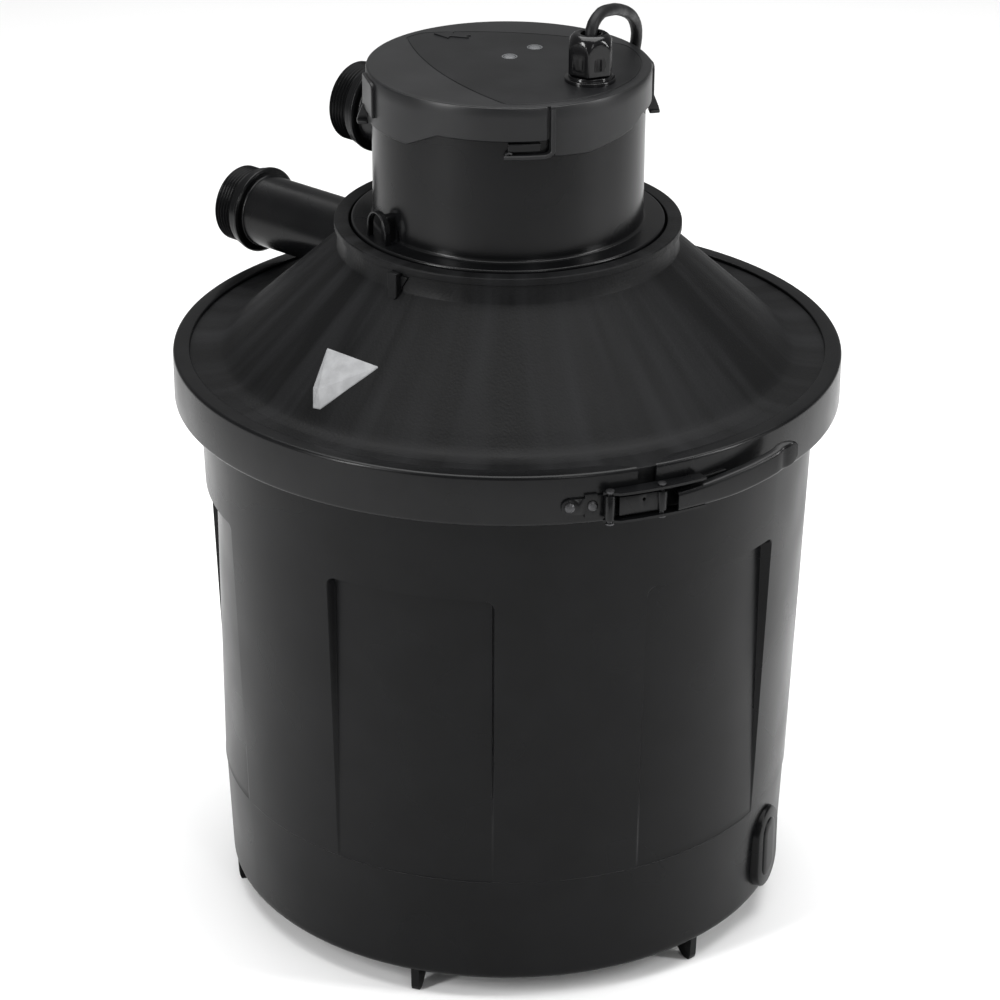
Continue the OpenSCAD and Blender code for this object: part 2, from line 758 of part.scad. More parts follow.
module uv_lamp() {
    color("#f2f4f6") {
        for (x = [-4.4, 4.4]) translate([x, 0, z_quartz + 24]) cylinder(r = 3.6, h = board_z - z_quartz - 44, $fn = 32);
        translate([-4.4, -2, z_quartz + 30]) cube([8.8, 4, 6]);
        translate([0, 0, board_z - 22]) cylinder(r = 9, h = 16);
    }
}

module control_board() {
    color("#2d6a42") difference() {
        union() {
            translate([-board_out, -28, board_z - 1.8]) cube([board_out - board_in, 56, 1.8]);
            translate([10 - board_out, -12, board_z - 13.8]) cube([board_out - board_in - 18, 24, 12]);
            translate([24 - board_out, 18, board_z - 11.8]) cylinder(r = 5, h = 10, $fn = 32);
        }
        for (y = board_screw_y) translate([board_screw_x, y, board_z - 30]) cylinder(r = 1.7, h = 40, $fn = 24);
    }
}

module board_screws() {
    color("#a8aaac") for (y = board_screw_y)
        translate([board_screw_x, y, board_z - 3.6]) {
            cylinder(r = 3, h = 1.8, $fn = 32);
            cylinder(r = 1.4, h = 10, $fn = 24);
        }
}

// ---- Mains cable ----

// Hand-set route from the gland's seal, over the cap's edge and down behind the tank to the coil
route = [
    [46, -32, 536], [46, -32, 546], [46, -31.5, 552], [47.5, -28, 558], [52, -19, 561.5],
    [58, -6, 559.5], [62.5, 8, 555.5], [69, 26, 548], [73, 40, 539.5], [75, 49, 530],
    [74.5, 54, 519], [72, 57, 505], [68, 63, 480], [64, 72, 458], [61, 84, 444],
    [59, 96, 433], [57, 110, 418], [56, 126, 400], [55, 142, 383], [54, 158, 369],
    [53, 174, 361.5], [52, 188, 360.5], [51, 199, 356.5], [50, 205, 346], [50, 206, 330],
    [50, 206, 250], [50, 206, 150], [50, 206, 60], [50, 208, 34], [50, 214, 16],
    [50, 226, 6.5], [50, 240, 3.5], [50, 256, 3.5]
];
coil_x = 50 - coil_r;
coil_y = 256;
coil_fat = 12.5;
tail_route = [
    [coil_x - 4, coil_y + coil_r + 8, 8], [coil_x - 20, coil_y + coil_r + 8, 6],
    [coil_x - 38, coil_y + coil_r + 6, 9], [coil_x - 52, coil_y + coil_r + 2, 14]
];
sides = 8;
ring_step = 2.4 * cord_d;

function unit(v) = v / norm(v);
function dir_at(p, i) =
    unit(p[min(i + 1, len(p) - 1)] - p[max(i - 1, 0)]);

// A point of the smooth curve through p, between p[i] and p[i + 1]
function curve(p, i, t) =
    let(
        a = p[max(i - 1, 0)], b = p[i], c = p[i + 1], d = p[min(i + 2, len(p) - 1)]
    )
    0.5 * (2 * b + (c - a) * t + (2 * a - 5 * b + 4 * c - d) * t * t
        + (3 * b - a - 3 * c + d) * t * t * t);

// The curve's points, no further apart than step
function along(p, step) = concat(
    [for (i = [0 : len(p) - 2]) let(n = max(1, round(norm(p[i + 1] - p[i]) / step)))
        for (k = [0 : n - 1]) curve(p, i, k / n)],
    [p[len(p) - 1]]
);

module tube(p, r) {
    pts = along(p, ring_step);
    n = len(pts);
    rings = [for (i = [0 : n - 1]) let(
            t = dir_at(pts, i), u = unit(cross(t, [0.94, -0.34, 0.05])), v = cross(t, u)
        ) for (k = [0 : sides - 1])
            pts[i] + r * (cos(k * 360 / sides) * u + sin(k * 360 / sides) * v)];
    walls = [for (i = [0 : n - 2], k = [0 : sides - 1], h = [0, 1]) let(
            a = i * sides + k, b = i * sides + (k + 1) % sides
        ) h == 0 ? [a, b, b + sides] : [a, b + sides, a + sides]];
    polyhedron(
        points = rings,
        faces = concat(
            [[for (k = [sides - 1 : -1 : 0]) k]],
            walls,
            [[for (k = [0 : sides - 1]) (n - 1) * sides + k]]
        ),
        convexity = 6
    );
}

module mains_cable() {
    color("#121213") tube(route, cord_d / 2);
}

module cable_coil() {
    color("#121213") translate([coil_x, coil_y, coil_fat])
        rotate_extrude() translate([coil_r, 0]) circle(coil_fat, $fn = 48);
}

module cable_tail() {
    color("#121213") tube(tail_route, cord_d / 2);
}

plug_from = coil_x - 52;
plug_y = coil_y + coil_r + 2;
plug_r = 14;

module power_plug() {
    color("#161617") translate([plug_from, plug_y, plug_r]) rotate([0, -90, 0]) {
        difference() {
            rotate_extrude($fn = 64) polygon([
                [0, 0], [5, 0], [5.4, 8], [8, 14], [plug_r, 20], [plug_r, 44], [plug_r - 1.4, 46],
                [0, 46]
            ]);
            translate([0, 0, -1]) cylinder(r = cord_d / 2, h = 6, $fn = 48);
        }
        for (y = [-9.5, 9.5])
            translate([0, y, 45]) cylinder(r = 2.4, h = 19, $fn = 32);
    }
}

tank_shell();
flange_seal();
bottom_grid();
centre_pipe();
foam_ring_1();
foam_ring_2();
foam_ring_3();
foam_ring_4();
foam_ring_5();
top_grid();
pipe_nut();
clamp_band();
latch_bracket();
bracket_rivets();
catch_bracket();
catch_rivets();
lid_cone();
direction_marker();
head_seal();
uv_housing();
latch_lever();
pivot_pin();
link_pin();
draw_link();
cap_shell();
cap_panel();
cap_seal();
status_lens_1();
status_lens_2();
gland_washer();
gland_body();
gland_nut();
gland_seal();
quartz_tube();
quartz_nut();
quartz_seal();
lamp_socket();
uv_lamp();
control_board();
board_screws();
mains_cable();
cable_coil();
cable_tail();
power_plug();
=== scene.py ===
"""Looks of the pressurised pond filter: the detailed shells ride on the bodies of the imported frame."""

import json
import math

import bmesh
import bpy
from mathutils import Matrix, Vector, noise


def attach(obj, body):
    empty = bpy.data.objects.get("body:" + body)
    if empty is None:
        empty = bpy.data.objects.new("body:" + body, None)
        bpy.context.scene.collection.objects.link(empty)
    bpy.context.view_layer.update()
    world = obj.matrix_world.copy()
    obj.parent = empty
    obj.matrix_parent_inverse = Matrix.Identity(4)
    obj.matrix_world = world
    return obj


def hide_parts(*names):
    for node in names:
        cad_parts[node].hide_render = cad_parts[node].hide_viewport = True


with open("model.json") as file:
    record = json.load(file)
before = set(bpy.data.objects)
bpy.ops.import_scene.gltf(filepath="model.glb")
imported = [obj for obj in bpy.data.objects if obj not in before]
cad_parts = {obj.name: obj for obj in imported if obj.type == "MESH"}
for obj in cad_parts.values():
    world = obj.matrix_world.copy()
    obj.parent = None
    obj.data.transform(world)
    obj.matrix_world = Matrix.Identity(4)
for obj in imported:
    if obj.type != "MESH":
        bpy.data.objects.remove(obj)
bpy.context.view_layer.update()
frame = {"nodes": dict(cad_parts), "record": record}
nodes = frame["nodes"]
MM = 0.001
TAU = 2 * math.pi

# ---- Camera: the solved station point, in metres and radians ----

ELEVATION = 0.4401
DISTANCE = 2.0116
AIM_HEIGHT = 0.24786
ROLL = 0.0055
LENS = 118.505
SHIFT_X = -0.00648


def make_camera():
    """Stands in front of the filter, 25 degrees up, aimed at a point on its axis."""
    forward = Vector((0, math.cos(ELEVATION), -math.sin(ELEVATION)))
    right = Vector((1, 0, 0))
    up = right.cross(forward)
    tilted_right = math.cos(ROLL) * right + math.sin(ROLL) * up
    tilted_up = -math.sin(ROLL) * right + math.cos(ROLL) * up
    data = bpy.data.cameras.new("camera")
    data.sensor_width = 36
    data.lens = LENS
    data.shift_x = SHIFT_X
    camera = bpy.data.objects.new("camera", data)
    place = Vector((0, 0, AIM_HEIGHT)) - DISTANCE * forward
    axes = Matrix((tilted_right, tilted_up, -forward)).transposed().to_4x4()
    camera.matrix_world = Matrix.Translation(place) @ axes
    bpy.context.scene.collection.objects.link(camera)
    bpy.context.scene.camera = camera


make_camera()

# ---- Sizes, in millimetres, repeated from the CAD source ----

Z_TANK = 14
Z_BAND = 325
Z_FLANGE = 338
Z_LID = 340.5
Z_CONE = 352.8
Z_BAND_TOP = 355
Z_INLET = 387.4
Z_COLLAR = 417
Z_COLLAR_FLOOR = 419
Z_DISC = 421
Z_RIM = 432.4
Z_HEAD = 433.5
Z_OUTLET = 477
Z_SKIRT = 506
Z_HEAD_TOP = 517
Z_CAP_TOP = 526
TANK_R = 172.7
FLANGE_R = 195
BAND_R, BAND_IN = 199, 197.2
CONE_TOP_R = 100.5
COLLAR_R, COLLAR_BORE = 102.2, 93.5
HEAD_R, HEAD_IN = 79.3, 75.3
CAP_R, CAP_IN = 82.6, 79.8
HOOKS = (-73.2, 106.8)
PORT_DIR = math.radians(139.5)
PORT_BORE, PORT_PIPE = 19, 22.3
GLAND = Vector((46, -32, 0))
CORD_D = 7
COIL_R = 56
COIL_FAT = 12.5
PLUG_R = 14

WELD = 0.01 * MM
UPRIGHT = Matrix.Rotation(math.radians(90), 4, "X")

# ---- Mesh helpers ----


def new_object(name, mesh):
    made = bpy.data.objects.new(name, mesh)
    bpy.context.scene.collection.objects.link(made)
    return made


def smooth(made, angle=35):
    """Shades faces smooth and keeps edges sharper than angle degrees crisp."""
    mesh = made.data
    mesh.polygons.foreach_set("use_smooth", [True] * len(mesh.polygons))
    mesh.set_sharp_from_angle(angle=math.radians(angle))
    return made


def polar(r, a, z=0.0):
    """A point in millimetres from radius, angle in radians and height."""
    return Vector((r * math.cos(a), r * math.sin(a), z))


def linspace(a, b, n):
    return [a + (b - a) * i / (n - 1) for i in range(n)]


def rounded(points, radius, steps=4, closed=False):
    """The outline with its corners turned into arcs; radius is one number or one for each point."""
    n = len(points)
    pts = [Vector(p) for p in points]
    out = []
    for i, p in enumerate(pts):
        r = radius[i] if isinstance(radius, (list, tuple)) else radius
        if r <= 0 or (not closed and i in (0, n - 1)):
            out.append(p)
            continue
        u = pts[i - 1] - p
        v = pts[(i + 1) % n] - p
        turn = u.angle(v)
        if turn > math.radians(178):
            out.append(p)
            continue
        reach = min(r / math.tan(turn / 2), 0.48 * u.length, 0.48 * v.length)
        a = p + u.normalized() * reach
        b = p + v.normalized() * reach
        for k in range(steps + 1):
            t = k / steps
            out.append((1 - t) ** 2 * a + 2 * t * (1 - t) * p + t * t * b)
    return [tuple(q) for q in out]


def grid_mesh(name, rows, closed_u=True, closed_v=False, caps=False):
    """A mesh from rows of points in millimetres; closed_u joins each row's ends."""
    mesh = bpy.data.meshes.new(name)
    verts = [tuple(p * MM) for row in rows for p in map(Vector, row)]
    n, m = len(rows), len(rows[0])
    faces = []
    for i in range(n if closed_v else n - 1):
        for j in range(m if closed_u else m - 1):
            a, b = i * m + j, i * m + (j + 1) % m
            c, d = ((i + 1) % n) * m + (j + 1) % m, ((i + 1) % n) * m + j
            faces.append((a, b, c, d))
    if caps:
        faces.append(tuple(range(m - 1, -1, -1)))
        faces.append(tuple(range((n - 1) * m, n * m)))
    mesh.from_pydata(verts, [], faces)
    mesh.validate()
    return new_object(name, mesh)


def clean(made, weld=WELD):
    """Welds doubled points, drops faces with no area and turns every face outward."""
    b = bmesh.new()
    b.from_mesh(made.data)
    bmesh.ops.remove_doubles(b, verts=b.verts, dist=weld)
    bmesh.ops.dissolve_degenerate(b, edges=b.edges, dist=weld)
    bmesh.ops.recalc_face_normals(b, faces=b.faces)
    b.to_mesh(made.data)
    b.free()
    return made


def lathe(name, profile, segments=192, place=None, a0=0.0, a1=TAU, shape=None):
    """Turns a closed (r, z) outline about Z; shape(r, z, angle) may move each point."""
    whole = abs(a1 - a0 - TAU) < 1e-6
    count = segments if whole else segments + 1
    angles = [a0 + (a1 - a0) * i / segments for i in range(count)]
    rows = []
    for a in angles:
        row = []
        for r, z in profile:
            if shape:
                r, z = shape(r, z, a)
            row.append(polar(r, a, z))
        rows.append(row)
    made = grid_mesh(name, rows, closed_u=True, closed_v=whole, caps=not whole)
    if place is not None:
        made.data.transform(place)
    return smooth(clean(made))


def join(name, parts):
    """Joins meshes into one object under the given name."""
    b = bmesh.new()
    for p in parts:
        b.from_mesh(p.data)
        data = p.data
        bpy.data.objects.remove(p)
        bpy.data.meshes.remove(data)
    mesh = bpy.data.meshes.new(name)
    b.to_mesh(mesh)
    b.free()
    return smooth(new_object(name, mesh))


def bevelled(made, width, segments=2, angle=35):
    """Adds a small rounded edge where faces meet at more than angle degrees."""
    weld = made.modifiers.new("weld", "WELD")
    weld.merge_threshold = WELD
    bevel = made.modifiers.new("edges", "BEVEL")
    bevel.width = width * MM
    bevel.segments = segments
    bevel.limit_method = "ANGLE"
    bevel.angle_limit = math.radians(angle)
    bevel.harden_normals = False
    return made


def prism(name, outline, z0, z1, place=None):
    """A straight prism over a 2D outline in millimetres."""
    mesh = bpy.data.meshes.new(name)
    n = len(outline)
    verts = [(x * MM, y * MM, z * MM) for z in (z0, z1) for x, y in outline]
    faces = [tuple(range(n - 1, -1, -1)), tuple(range(n, 2 * n))]
    faces += [(i, (i + 1) % n, n + (i + 1) % n, n + i) for i in range(n)]
    mesh.from_pydata(verts, [], faces)
    made = new_object(name, mesh)
    if place is not None:
        made.data.transform(place)
    return smooth(clean(made))


def at(r, a, z=0.0):
    """A place at radius r (mm), angle a (degrees) and height z, with +X outward."""
    turn = Matrix.Rotation(math.radians(a), 4, "Z")
    return turn @ Matrix.Translation(Vector((r, 0, z)) * MM)


# ---- Mains cable: the CAD route, then the coil's turns and the plug's tail ----

ROUTE = [
    (46, -32, 536), (46, -32, 546), (46, -31.5, 552), (47.5, -28, 558), (52, -19, 561.5),
    (58, -6, 559.5), (62.5, 8, 555.5), (69, 26, 548), (73, 40, 539.5), (75, 49, 530),
    (74.5, 54, 519), (72, 57, 505), (68, 63, 480), (64, 72, 458), (61, 84, 444),
    (59, 96, 433), (57, 110, 418), (56, 126, 400), (55, 142, 383), (54, 158, 369),
    (53, 174, 361.5), (52, 188, 360.5), (51, 199, 356.5), (50, 205, 346), (50, 206, 330),
    (50, 206, 250), (50, 206, 150), (50, 206, 60), (50, 208, 34), (50, 214, 16),
    (50, 226, 6.5), (50, 240, 3.5), (50, 256, 3.5),
]
COIL_X, COIL_Y = 50 - COIL_R, 256
TAIL = [
    (COIL_X - 4, COIL_Y + COIL_R + 8, 8), (COIL_X - 20, COIL_Y + COIL_R + 8, 6),
    (COIL_X - 38, COIL_Y + COIL_R + 6, 9), (COIL_X - 52, COIL_Y + COIL_R + 2, 14),
]


def catmull(points, step):
    """Points of a smooth curve through the given ones, no further apart than step."""
    out = []
    p = [Vector(q) for q in points]
    for i in range(len(p) - 1):
        a, b, c, d = p[max(i - 1, 0)], p[i], p[i + 1], p[min(i + 2, len(p) - 1)]
        n = max(1, math.ceil((c - b).length / step))
        for k in range(n):
            t = k / n
            out.append(0.5 * (2 * b + (c - a) * t + (2 * a - 5 * b + 4 * c - d) * t * t
                              + (3 * b - a - 3 * c + d) * t ** 3))
    out.append(p[-1])
    return out


def coil_turns():
    """Turns wound round a ring, each a diameter from the last, from the lead to the tail."""
    turns, steps = 6.25, 32
    wind, bundle = math.radians(48), COIL_FAT - CORD_D / 2
    out = []
    for k in range(1, int(turns * steps) + 1):
        t = k / steps
        around = -math.pi / 2 - wind * t
        r = COIL_R + bundle * math.cos(around)
        out.append(Vector((COIL_X + r * math.cos(TAU * t), COIL_Y + r * math.sin(TAU * t),
                           COIL_FAT + bundle * math.sin(around))))
    return out


def make_cord():
    """The whole lead as one swept curve, its centre line in millimetres and its length in metres."""
    path = catmull(ROUTE, 6) + coil_turns()
    path += catmull([path[-1], *TAIL[1:]], 6)[1:]
    curve = bpy.data.curves.new("mains_lead", "CURVE")
    curve.dimensions = "3D"
    spline = curve.splines.new("POLY")
    spline.points.add(len(path) - 1)
    for point, p in zip(spline.points, path):
        point.co = (*(p * MM), 1)
    curve.bevel_depth = CORD_D / 2 * MM
    curve.bevel_resolution = 5
    curve.use_fill_caps = True
    made = new_object("mains_lead", curve)
    length = sum((b - a).length for a, b in zip(path, path[1:])) * MM
    return made, path, length


cord, cord_path, cord_length = make_cord()

# ---- Tank: one shell with six recessed fields, feet and a blank oval badge ----

SKIRT_H, SKIRT_TAPER = 69, 2.8
STEP_H, STEP_OUT = 0.8, 0.6
WALL_H, WALL_TAPER = 230.2, 7.8
PANELS = 6
PANEL_DIRS = [-48 - 360 / PANELS * k for k in range(PANELS)]
PANEL_R = 175.9
PANEL_HALF = math.radians(15.75)
PANEL_TOP = Z_TANK + 256
PANEL_CORNER = 5
PANEL_FADE = 0.7
ARC_R = 180  # the radius at which distances across a panel are measured
EDGE_STEPS = (-7, -5, -3.4, -2.2, -1.4, -0.8, -0.3, 0.3, 0.8, 1.4)


def ease(x, a, b):
    """0 below a, 1 above b and a smooth rise between."""
    t = min(1, max(0, (x - a) / (b - a)))
    return t * t * (3 - 2 * t)


def wall_radius(z):
    """The tank's outer radius at height z, away from the recessed fields."""
    up = z - Z_TANK
    if up < SKIRT_H:
        return TANK_R + SKIRT_TAPER * up / SKIRT_H
    up -= SKIRT_H
    skirt_r = TANK_R + SKIRT_TAPER
    if up < STEP_H:
        return skirt_r + STEP_OUT * up / STEP_H
    return skirt_r + STEP_OUT + WALL_TAPER * min(1, (up - STEP_H) / WALL_H)


def in_field(a, z):
    """1 inside a recessed field, 0 outside it, with soft edges and rounded upper corners."""
    off = (a - math.radians(PANEL_DIRS[0]) + PANEL_HALF * 2) % (TAU / PANELS) - PANEL_HALF * 2
    dx = abs(off) * ARC_R - (PANEL_HALF * ARC_R - PANEL_CORNER)
    dz = z - (PANEL_TOP - PANEL_CORNER)
    d = math.hypot(max(dx, 0), max(dz, 0)) + min(max(dx, dz), 0) - PANEL_CORNER
    return 1 - ease(d, -PANEL_FADE, PANEL_FADE)


def tank_point(a, z):
    """A point of the tank's outside, let in where a field is."""
    r = wall_radius(z)
    if z > Z_TANK + SKIRT_H + 1:
        r -= in_field(a, z) * max(0, r - PANEL_R)
    return polar(r, a, z)


def make_tank():
    """The tank's one shell, with closer columns and rows of points at the edges of its fields."""
    angles = set()
    for direction in PANEL_DIRS:
        for side in (-1, 1):
            for s in EDGE_STEPS:
                angles.add((math.radians(direction) + side * (PANEL_HALF + s / ARC_R)) % TAU)
    edges = sorted(angles)
    for a in linspace(0, TAU, 193)[:-1]:
        if min(abs(a - e) for e in edges) > 0.004:
            angles.add(a)
    angles = sorted(angles)
    heights = [17, 19, 30, 45, 60, 75, 82, 82.9, 83.4, 83.8, 84.4, 88]
    heights += linspace(100, 260, 12) + [PANEL_TOP + s for s in EDGE_STEPS] + [280, 300, 314, 325]
    floor = [(0, Z_TANK), (100, Z_TANK), (TANK_R - 3.1, Z_TANK), (TANK_R - 1.5, Z_TANK + 0.5),
             (TANK_R - 0.4, Z_TANK + 1.6)]
    rows = [[polar(r, a, z) for a in angles] for r, z in floor]
    rows += [[tank_point(a, z) for a in angles] for z in heights]
    rim = [(FLANGE_R - 10.8, Z_FLANGE - 11.4), (FLANGE_R - 10, Z_FLANGE - 10.8),
           (FLANGE_R - 1, Z_FLANGE - 10.8), (FLANGE_R, Z_FLANGE - 10), (FLANGE_R, Z_FLANGE - 0.8),
           (FLANGE_R - 0.8, Z_FLANGE)]
    inside = [(172.6, Z_FLANGE), (171.9, Z_FLANGE - 0.8), (171.9, Z_TANK + SKIRT_H), (168.8, Z_TANK + 6),
              (166, Z_TANK + 4), (60, Z_TANK + 4), (0, Z_TANK + 4)]
    rows += [[polar(r, a, z) for a in angles] for r, z in rim + inside]
    return smooth(clean(grid_mesh("tank", rows)), 28)


def make_foot(angle):
    """A thin gusset under the tank's edge, upright outside and slanting inside to a rounded toe."""
    side = rounded([(149, Z_TANK + 1.5), (168, Z_TANK + 1.5), (172.1, Z_TANK + 4.5), (171.4, 3), (170.4, 0),
                    (166.6, 0), (164.4, 1.2)], [0, 0, 0.2, 1.2, 1.2, 1.4, 1.4], closed=True)
    return prism("foot", side, -2.5, 2.5, at(0, angle) @ UPRIGHT)


def oval(half_w, half_h, n=14):
    """An upright oval with half-round ends, as (across, up) points."""
    straight = half_h - half_w
    out = []
    for k in range(2 * n):
        t = TAU * (k + 0.5) / (2 * n)
        out.append((half_w * math.cos(t), half_w * math.sin(t) + math.copysign(straight, math.sin(t))))
    return out


BADGE_DIR, BADGE_Z = -24, 47


def domed_oval(half_w, half_h, r0, r1):
    """A raised oval on the tank's skirt, from radius r0 out to r1, with a soft shoulder."""
    rows = []
    for inset, r in ((0, r0), (0, r1 - 1.2), (0.4, r1 - 0.5), (1.2, r1), (half_w * 0.6, r1 + 0.3)):
        rows.append([Vector((r, x, z)) for x, z in oval(half_w - inset, half_h - inset)])
    made = grid_mesh("badge", rows, caps=True)
    made.data.transform(at(0, BADGE_DIR, BADGE_Z))
    return clean(made)


tank = make_tank()
feet = bevelled(join("feet", [make_foot(direction) for direction in PANEL_DIRS]), 0.6)
pad = lathe("centre_pad", rounded([(14, 0), (18, 0), (18, 15), (14, 15)], 0.8, closed=True), 48)
badge = join("blank_badge", [domed_oval(17, 27, 168, 177.9), domed_oval(10, 20, 175, 179)])

# ---- Ports: bore, pipe, shoulder and thread about a local axis ----

THREAD_LEN = 15
PITCH = 2.3
SHOULDER_R, RING_R = 25.6, 27
INLET_FROM, INLET_REACH = 100, 223
OUTLET_FROM, OUTLET_REACH = 74, 122.4


def port_profile(s0, s1):
    """A closed (r, s) outline from the inner end to the mouth."""
    start = s1 - THREAD_LEN
    outline = rounded([(PORT_BORE, s0), (PORT_PIPE, s0), (PORT_PIPE, start - 8.6), (SHOULDER_R, start - 8.4),
                       (RING_R, start - 7.4), (RING_R, start - 5.4), (SHOULDER_R, start - 4.6),
                       (SHOULDER_R, start - 0.6), (PORT_PIPE + 0.2, start)],
                      [0, 0, 1.2, 1, 0.8, 0.8, 0.5, 0.8, 0])
    root, crest = PORT_PIPE + 0.1, PORT_PIPE + 1.6
    for k in range(int((THREAD_LEN - 1) / PITCH)):
        foot = start + 0.6 + k * PITCH
        outline += [(root, foot), (crest - 0.2, foot + 0.8), (crest, foot + 1.1), (crest - 0.2, foot + 1.4),
                    (root, foot + 2.1)]
    return outline + [(root, s1 - 0.5), (PORT_PIPE - 0.5, s1), (PORT_BORE + 0.4, s1), (PORT_BORE, s1 - 0.5)]


def make_port(name, s0, s1, z):
    """A port that runs outward from s0 to its mouth at s1, its axis at height z."""
    place = Matrix.Rotation(PORT_DIR, 4, "Z") @ Matrix.Translation((0, 0, z * MM))
    return lathe(name, port_profile(s0, s1), 96, place @ Matrix.Rotation(math.radians(90), 4, "Y"))


inlet = make_port("inlet_port", INLET_FROM, INLET_REACH, Z_INLET)
outlet = make_port("outlet_port", OUTLET_FROM, OUTLET_REACH, Z_OUTLET)

# ---- Lid: a cone with faint radial sinks, its collar and the pointer rib ----


CONE_FOOT_R, CONE_FOOT_UP = 166, 4.6


def cone_height(r):
    """Height of the cone's skin at radius r."""
    rise = Z_COLLAR - Z_CONE - CONE_FOOT_UP
    return Z_CONE + CONE_FOOT_UP + (CONE_FOOT_R - r) * rise / (CONE_FOOT_R - CONE_TOP_R)


def sink(r, a):
    """Faint radial hollows in the moulded cone, deepest half way up."""
    deep = ease(r, 100, 118) * (1 - ease(r, 150, CONE_FOOT_R))
    wave = noise.noise(Vector((3.2 * math.cos(a), 3.2 * math.sin(a), r / 220)))
    ribs = math.cos(12 * a + 0.6) ** 6
    return deep * (0.9 * wave - 0.35 * ribs)


def make_lid():
    """The lid in one skin: flange, cone with its hollows, collar with its lip and floor, and underside."""
    skin = rounded([(FLANGE_R, Z_LID), (FLANGE_R, Z_CONE), (190, Z_CONE), (177.5, Z_CONE),
                    (171.5, Z_CONE + 0.8)], [0, 0.8, 0, 2, 0])
    steps = [(168.5, Z_CONE + 2.2), (165, Z_CONE + 5.1)]
    steps += [(r, cone_height(r)) for r in linspace(161, 101.5, 22)]
    collar = rounded([(CONE_TOP_R + 0.3, Z_COLLAR), (CONE_TOP_R, Z_RIM - 4.6), (COLLAR_R, Z_RIM - 4.3),
                      (COLLAR_R, Z_RIM), (COLLAR_BORE, Z_RIM), (COLLAR_BORE, Z_COLLAR_FLOOR),
                      (70, Z_COLLAR_FLOOR), (70, Z_COLLAR_FLOOR - 6)], [0, 0.6, 0.3, 1, 0.9, 1, 0, 0])
    under = [(95.5, Z_COLLAR_FLOOR - 6), (162, Z_LID + 6), (162, Z_LID)]
    outline = skin + steps + collar + under
    moved = set(steps[2:])
    rows = []
    segments = 288
    for i in range(segments):
        a = TAU * i / segments
        rows.append([polar(r, a, z + (sink(r, a) if (r, z) in moved else 0)) for r, z in outline])
    made = grid_mesh("lid", rows, closed_u=True, closed_v=True)
    return smooth(clean(made), 40)


def make_pointer():
    """A round-ended rib below the collar's lip and the little gusset beside it."""
    outward = Matrix.Rotation(math.radians(90), 4, "Z") @ UPRIGHT
    rib = rounded([(-3.2, 28), (-3.2, 12), (3.2, 12), (3.2, 28)], [0, 3, 3, 0], 6)
    base = prism("rib", rib, 96, 105.7, at(0, -128.4, 400) @ outward)
    gusset = prism("gusset", [(0, 17), (5.5, 26), (0, 26)], 98, 101.9, at(0, -126.8, 400) @ outward)
    return bevelled(join("collar_pointer", [base, gusset]), 0.5)


def make_marker():
    """A faceted arrowhead on the cone, with a ridge from its high back corner down to its point."""
    corners = [(136.1, -138.8), (135.7, -132.8), (135.9, -127.2), (136.5, -122), (144.7, -125),
               (153.3, -127.9), (161.6, -130.5), (162.1, -132.4), (154.4, -135.3)]
    low = [polar(r, math.radians(a), cone_height(r) - 3) for r, a in corners]
    high = [polar(r, math.radians(a), cone_height(r) + 0.6) for r, a in corners]
    ridge = polar(157.6, math.radians(-132.4), cone_height(157.6) + 5.6)
    mesh = bpy.data.meshes.new("marker")
    n = len(corners)
    faces = [tuple(range(n))[::-1]] + [(k, (k + 1) % n, (k + 1) % n + n, k + n) for k in range(n)]
    faces += [(k + n, (k + 1) % n + n, 2 * n) for k in range(n)]
    mesh.from_pydata([p * MM for p in low + high + [ridge]], [], faces)
    made = clean(new_object("marker", mesh))
    return bevelled(smooth(made, 12), 0.35, 2, 14)


lid = make_lid()
pointer = make_pointer()
marker = make_marker()

# ---- Clamp band: a channel whose lips are cut back at a slant ----


LIP_R, BAND_WALL = 189, 1.8
BAND_FROM, BAND_TO = -65.6, 291.1
SLANT_FROM, SLANT_TO = 4.6, 4.5


def make_band():
    """The channel, swept in degrees from one end round to the other."""
    low, high = Z_BAND + BAND_WALL, Z_BAND_TOP - BAND_WALL
    outline = rounded([(LIP_R, high), (LIP_R, Z_BAND_TOP), (BAND_R, Z_BAND_TOP), (BAND_R, Z_BAND),
                       (LIP_R, Z_BAND), (LIP_R, low), (BAND_IN, low), (BAND_IN, high)],
                      [0.4, 0.8, 2.2, 2.2, 0.8, 0.4, 1, 1], 4, closed=True)
    rows = []
    for t in linspace(0, 1, 241):
        row = []
        for r, z in outline:
            cut = max(0, BAND_IN - r) / (BAND_IN - LIP_R)
            a = (BAND_FROM + SLANT_FROM * cut) * (1 - t) + (BAND_TO - SLANT_TO * cut) * t
            row.append(polar(r, math.radians(a), z))
        rows.append(row)
    return smooth(clean(grid_mesh("band", rows, caps=True)), 40)


band = make_band()

# ---- Latch lever: two side plates round the pins and a bowed grip ----

PIN_R = 204.6
PIVOT = -74.0
GRIP_FROM, GRIP_TO = -62.9, -40.0
LEVER_LOW, LEVER_HIGH = 327.4, 345.4
PLATE = 1.5
EYE_R = 3.7
GRIP_R, GRIP_WALL, GRIP_Z = 208, 1.4, 334


def bow(a):
    """How far the grip stands off at angle a (degrees), more towards its end."""
    t = max(0, (a - GRIP_FROM) / (GRIP_TO - GRIP_FROM))
    return 5.2 * t * t


def hull_2d(points):
    """The convex outline round points, counter-clockwise."""
    pts = sorted(points, key=lambda p: (p.x, p.y))

    def half(sequence):
        out = []
        for p in sequence:
            while len(out) > 1 and (out[-1] - out[-2]).xy.to_3d().cross((p - out[-1]).xy.to_3d()).z <= 0:
                out.pop()
            out.append(p)
        return out[:-1]

    return half(pts) + half(pts[::-1])


